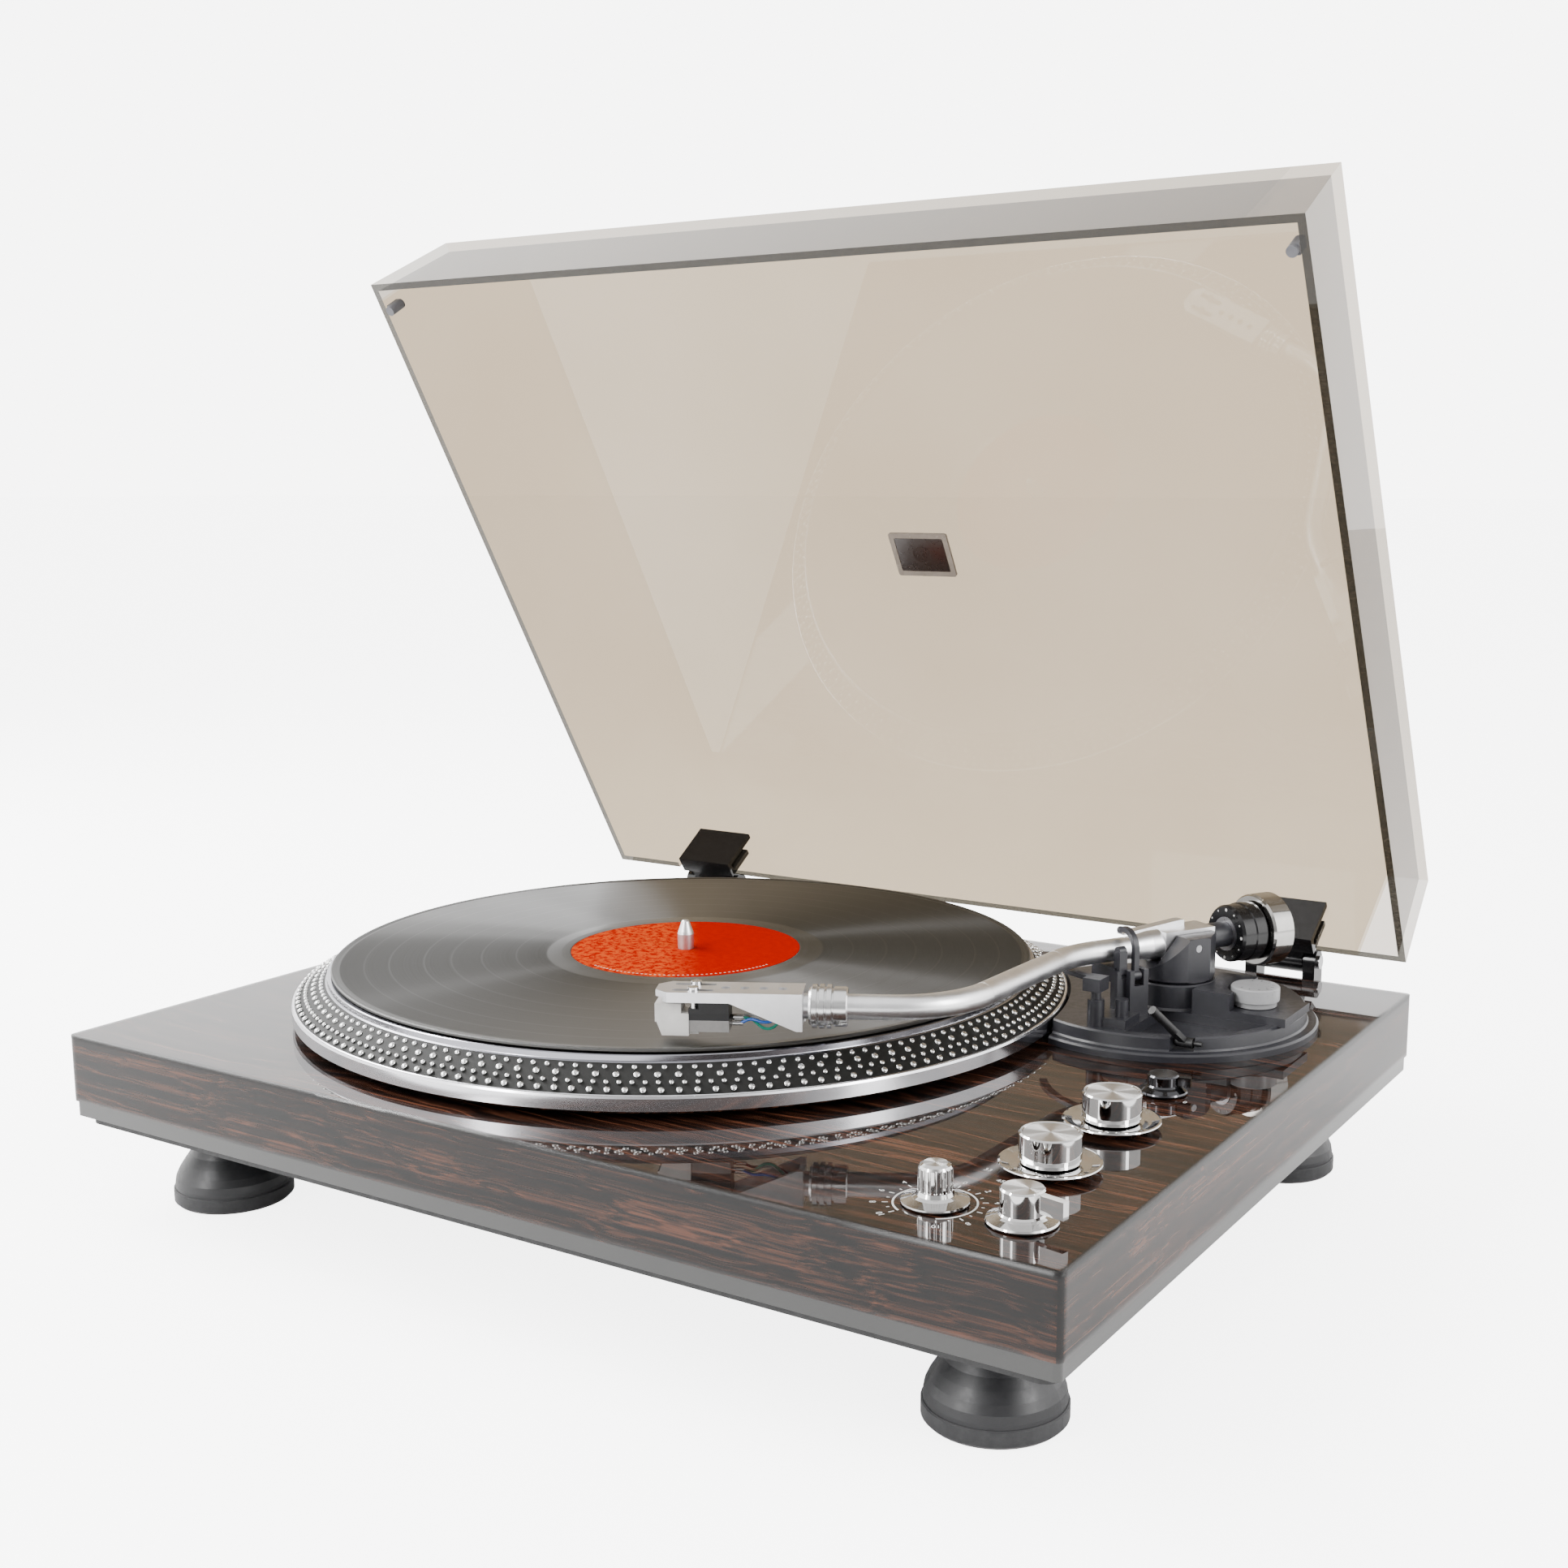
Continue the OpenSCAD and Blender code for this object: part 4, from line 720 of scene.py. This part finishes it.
def printed_dial():
    """White ring and ticks printed round the pitch knob."""
    inner, outer, ticks_from, half_wide = 13.1, 13.75, 14.9, 0.22
    parts = new_mesh("pitch_print", "deck", white_print, "knob_chrome")
    bm = parts[1]
    base = deck_matrix(*PITCH_AT, 0.0)
    ring = [(inner, 0.0), (inner, PRINT_RISE), (outer, PRINT_RISE), (outer, 0.0)]
    add_lathe(bm, base, ring, 72, 300, -60)
    for i in range(21):
        place = base @ Matrix.Rotation(math.radians(-60 + 15 * i), 4, "Z")
        length = 1.0 if i % 2 else 1.9
        add_box(bm, place, (ticks_from, -half_wide, 0.0), (ticks_from + length, half_wide, PRINT_RISE))
    close_mesh(parts)


def numerals(name, items):
    """Flat digits printed on the deck, each given with the frame in which it lies."""
    made = []
    for i, (digits, place) in enumerate(items):
        text = bpy.data.curves.new(f"{name}_{i}", "FONT")
        text.body = digits
        text.size = DIGIT_SIZE
        text.align_x, text.align_y = "CENTER", "CENTER"
        text.extrude = 0.03
        obj = bpy.data.objects.new(f"{name}_{i}", text)
        bpy.context.scene.collection.objects.link(obj)
        obj.matrix_world = place
        made.append(obj)
    bpy.context.view_layer.update()
    graph = bpy.context.evaluated_depsgraph_get()
    parts = new_mesh(name, "deck", white_print, "knob_chrome")
    bm = parts[1]
    for obj in made:
        part = bpy.data.meshes.new_from_object(obj.evaluated_get(graph))
        part.transform(obj.matrix_world)
        bm.from_mesh(part)
        bpy.data.meshes.remove(part)
        bpy.data.objects.remove(obj)
    bmesh.ops.remove_doubles(bm, verts=bm.verts, dist=1e-6)
    close_mesh(parts)


def printed_numbers():
    """Scales round the pitch, speed and cue controls."""
    def round_knob(spot, radius, a, turn):
        x, y = polar(radius, a)
        return deck_matrix(spot[0] + x, spot[1] + y, 0.04, turn)

    scale = enumerate(("10", "8", "6", "4", "2", "0", "2", "4", "6", "8", "10"))
    numerals("pitch_numbers", [(digits, round_knob(PITCH_AT, 19.6, 240 - 30 * i, 150 - 30 * i))
                               for i, digits in scale])
    marks = ((SPEED_AT, 20.5, "33", 215), (SPEED_AT, 20.5, "45", 245),
             (CUE_AT, 13.0, "1", 200), (CUE_AT, 13.0, "0", 330))
    numerals("control_numbers", [(digits, round_knob(spot, radius, a, 0))
                                 for spot, radius, digits, a in marks])


def badge_plate():
    """Dark plate set into the light frame of the lid's badge."""
    parts = new_mesh("badge_plate", "cover", plastic("badge_brown", (0.02, 0.012, 0.009), 0.3, 0.2),
                     "badge_grey")
    middle = LID @ Matrix.Translation((0, BADGE_Y, LID_TOP))
    add_box(parts[1], middle, (-12.8, -8.8, -1.1), (12.8, 8.8, -0.7), 0.1)
    add_lathe(parts[1], middle @ Matrix.Rotation(math.pi, 4, "X"),
              [(4.6, 1.0), (4.6, 1.18), (4.0, 1.18), (4.0, 1.0), (4.6, 1.0)], 40)
    close_mesh(parts)


def dial_marks():
    """White dots round the front face of the force dial."""
    dot_ring, dial_face = 10.3, -23.2
    parts = new_mesh("dial_marks", "force_dial", white_print, "black_plastic")
    bm = parts[1]
    toward = ARM @ Matrix.Rotation(math.radians(90), 4, "Y")
    for i in range(12):
        place = toward @ Matrix.Translation((*polar(dot_ring, 30 * i), dial_face))
        size = 0.7 if i % 3 == 0 else 0.4
        add_lathe(bm, place, [(size, -0.1), (size, 0.12), (0.0, 0.16)], 10)
    close_mesh(parts)


def skate_marks():
    """Ring of ticks on the anti-skate knob's top."""
    parts = new_mesh("skate_marks", "antiskate", graphite, "arm_graphite")
    bm = parts[1]
    base = deck_matrix(*SKATE_AT, 20.7)
    for i in range(9):
        place = base @ Matrix.Rotation(math.radians(-120 + 30 * i), 4, "Z")
        add_box(bm, place, (6.6, -0.16, -0.1), (7.8, 0.16, 0.05))
    close_mesh(parts)


def leads():
    """Four coloured leads from the shell's pins to the cartridge's pins."""
    radius, pin_y, pin_z = 0.56 * MM, (-3, -1, 1, 3), (-6.2, -4.4, -4.4, -6.2)
    sleeves = (("lead_red", (0.3, 0.006, 0.006), -5.4), ("lead_white", (0.4, 0.4, 0.39), -6.2),
               ("lead_green", (0.003, 0.20, 0.13), -8.0), ("lead_azure", (0.004, 0.07, 0.34), -5.0))
    for (name, colour, sag), y, z in zip(sleeves, pin_y, pin_z):
        out = y * 1.35 + 0.8
        knots = [SHELL @ Vector(k) for k in ((18.5, y * 0.9, -0.6), (22.5, y, -2.2),
                                            (27.0, out, sag + 0.6), (31.0, out, sag),
                                            (35.5, y * 1.15, (sag + z) / 2 + 1.2), (39.6, y, z))]
        parts = new_mesh(name, "arm", plastic(name + "_sleeve", colour, 0.3), "lead_wire")
        add_tube(parts[1], along_curve(knots, 36), radius)
        close_mesh(parts)
        tip = new_mesh(name + "_clip", "arm", chrome, "terminal_steel")
        axis = SHELL @ Matrix.Translation((38.4, y, z)) @ Matrix.Rotation(math.radians(90), 4, "Y")
        add_lathe(tip[1], axis, [(0.0, 0), (0.75, 0), (0.75, 3.8), (0.0, 3.8)], 14)
        close_mesh(tip)
    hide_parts("lead_wires")


strobe_dots()
printed_dial()
printed_numbers()
badge_plate()
dial_marks()
skate_marks()
leads()

# ---------------------------------------------------------------- floor, light and camera

ROOM, BACKDROP, FLOOR_GLOW, CEILING = 3.3, 7.0, 4.8, 0.4
CAMERA_AT, CAMERA_DOWN, CAMERA_TURN = (442.51, -641.09, 222.50), 9.90, 31.97
CAMERA_LENS, CAMERA_SHIFT = 43.28, (-0.0420, 0.0187)
SOFT_LIGHTS = (
    ("softbox_left", (-1.3, -0.1, 1.0), (0, 0, 0.05), (0.5, 0.8), 22),
    ("softbox_front", (-0.5, -1.5, 0.9), (0, 0, 0.1), (0.3, 0.9), 18),
    ("softbox_right", (1.4, -0.1, 0.8), (0, 0, 0.1), (0.3, 0.8), 14),
    ("strip_overhead", (-0.95, -0.75, 1.35), (0, -0.1, 0.07), (1.4, 0.08), 24),
)


def stage():
    """A pale floor, lit up only for the camera so that it runs into the backdrop."""
    s = Shader("floor_pale")
    p = s.mm()
    paint, cloud = speckled(s, (0.9, 0.9, 0.9), 0.01, 0.002, p)
    seen = s.add("LightPath").outputs["Is Camera Ray"]
    s.surface(paint, s.span(cloud, 0.3, 0.7, 0.75, 0.85), Specular_IOR_Level=0.1,
              Normal=s.bump(s.noise(p, 0.4, 3.0), 0.05, 0.0001), Emission_Color=(1, 1, 1),
              Emission_Strength=s.math("MULTIPLY", seen, FLOOR_GLOW))
    grid = bpy.data.meshes.new("floor")
    bm = bmesh.new()
    bmesh.ops.create_grid(bm, x_segments=2, y_segments=2, size=40.0)
    bmesh.ops.translate(bm, vec=(0, 0, -0.0002), verts=bm.verts)
    bm.to_mesh(grid)
    bm.free()
    grid.materials.append(s.owner)
    floor = bpy.data.objects.new("floor", grid)
    bpy.context.scene.collection.objects.link(floor)


def world():
    """A white room, dimmer overhead and on the side where the photographer stands."""
    s = Shader("studio", bpy.data.worlds, "OutputWorld")
    bpy.context.scene.world = s.owner
    way = s.add("TexCoord").outputs["Generated"]
    toward = s.vec("DOT_PRODUCT", way, (0.50, -0.85, 0.17))
    dim = s.span(toward, 0.70, 0.90, 0.0, 0.88, smooth=True)
    height = s.split(way)[2]
    lift = s.span(height, -0.02, 0.5, 0.0, 0.12)
    level = s.math("MULTIPLY", s.math("SUBTRACT", 1.0, s.math("SUBTRACT", dim, lift)), ROOM)
    overhead = s.span(height, 0.42, 0.8, 1.0, CEILING, smooth=True)
    level = s.math("MULTIPLY", level, overhead)
    seen = s.add("LightPath").outputs["Is Camera Ray"]
    level = s.math("ADD", s.math("MULTIPLY", seen, BACKDROP),
                   s.math("MULTIPLY", s.math("SUBTRACT", 1.0, seen), level))
    glow = s.add("Background", Color=(1.0, 0.995, 0.99), Strength=level)
    s.plug(s.out.inputs["Surface"], glow)


def soft_light(name, place, aim, size, power):
    data = bpy.data.lights.new(name, "AREA")
    data.shape = "RECTANGLE"
    data.size, data.size_y = size
    data.energy = power
    obj = bpy.data.objects.new(name, data)
    bpy.context.scene.collection.objects.link(obj)
    obj.location = place
    direction = Vector(aim) - Vector(place)
    obj.rotation_euler = direction.to_track_quat("-Z", "Y").to_euler()
    obj.visible_camera = False


def camera():
    data = bpy.data.cameras.new("photo_view")
    data.sensor_width = 36.0
    data.lens = CAMERA_LENS
    data.shift_x, data.shift_y = CAMERA_SHIFT
    data.clip_end = 50.0
    obj = bpy.data.objects.new("photo_view", data)
    bpy.context.scene.collection.objects.link(obj)
    obj.location = deck(*CAMERA_AT)
    obj.rotation_euler = (math.radians(90 - CAMERA_DOWN), 0, math.radians(CAMERA_TURN))
    bpy.context.scene.camera = obj


stage()
world()
for light in SOFT_LIGHTS:
    soft_light(*light)
camera()
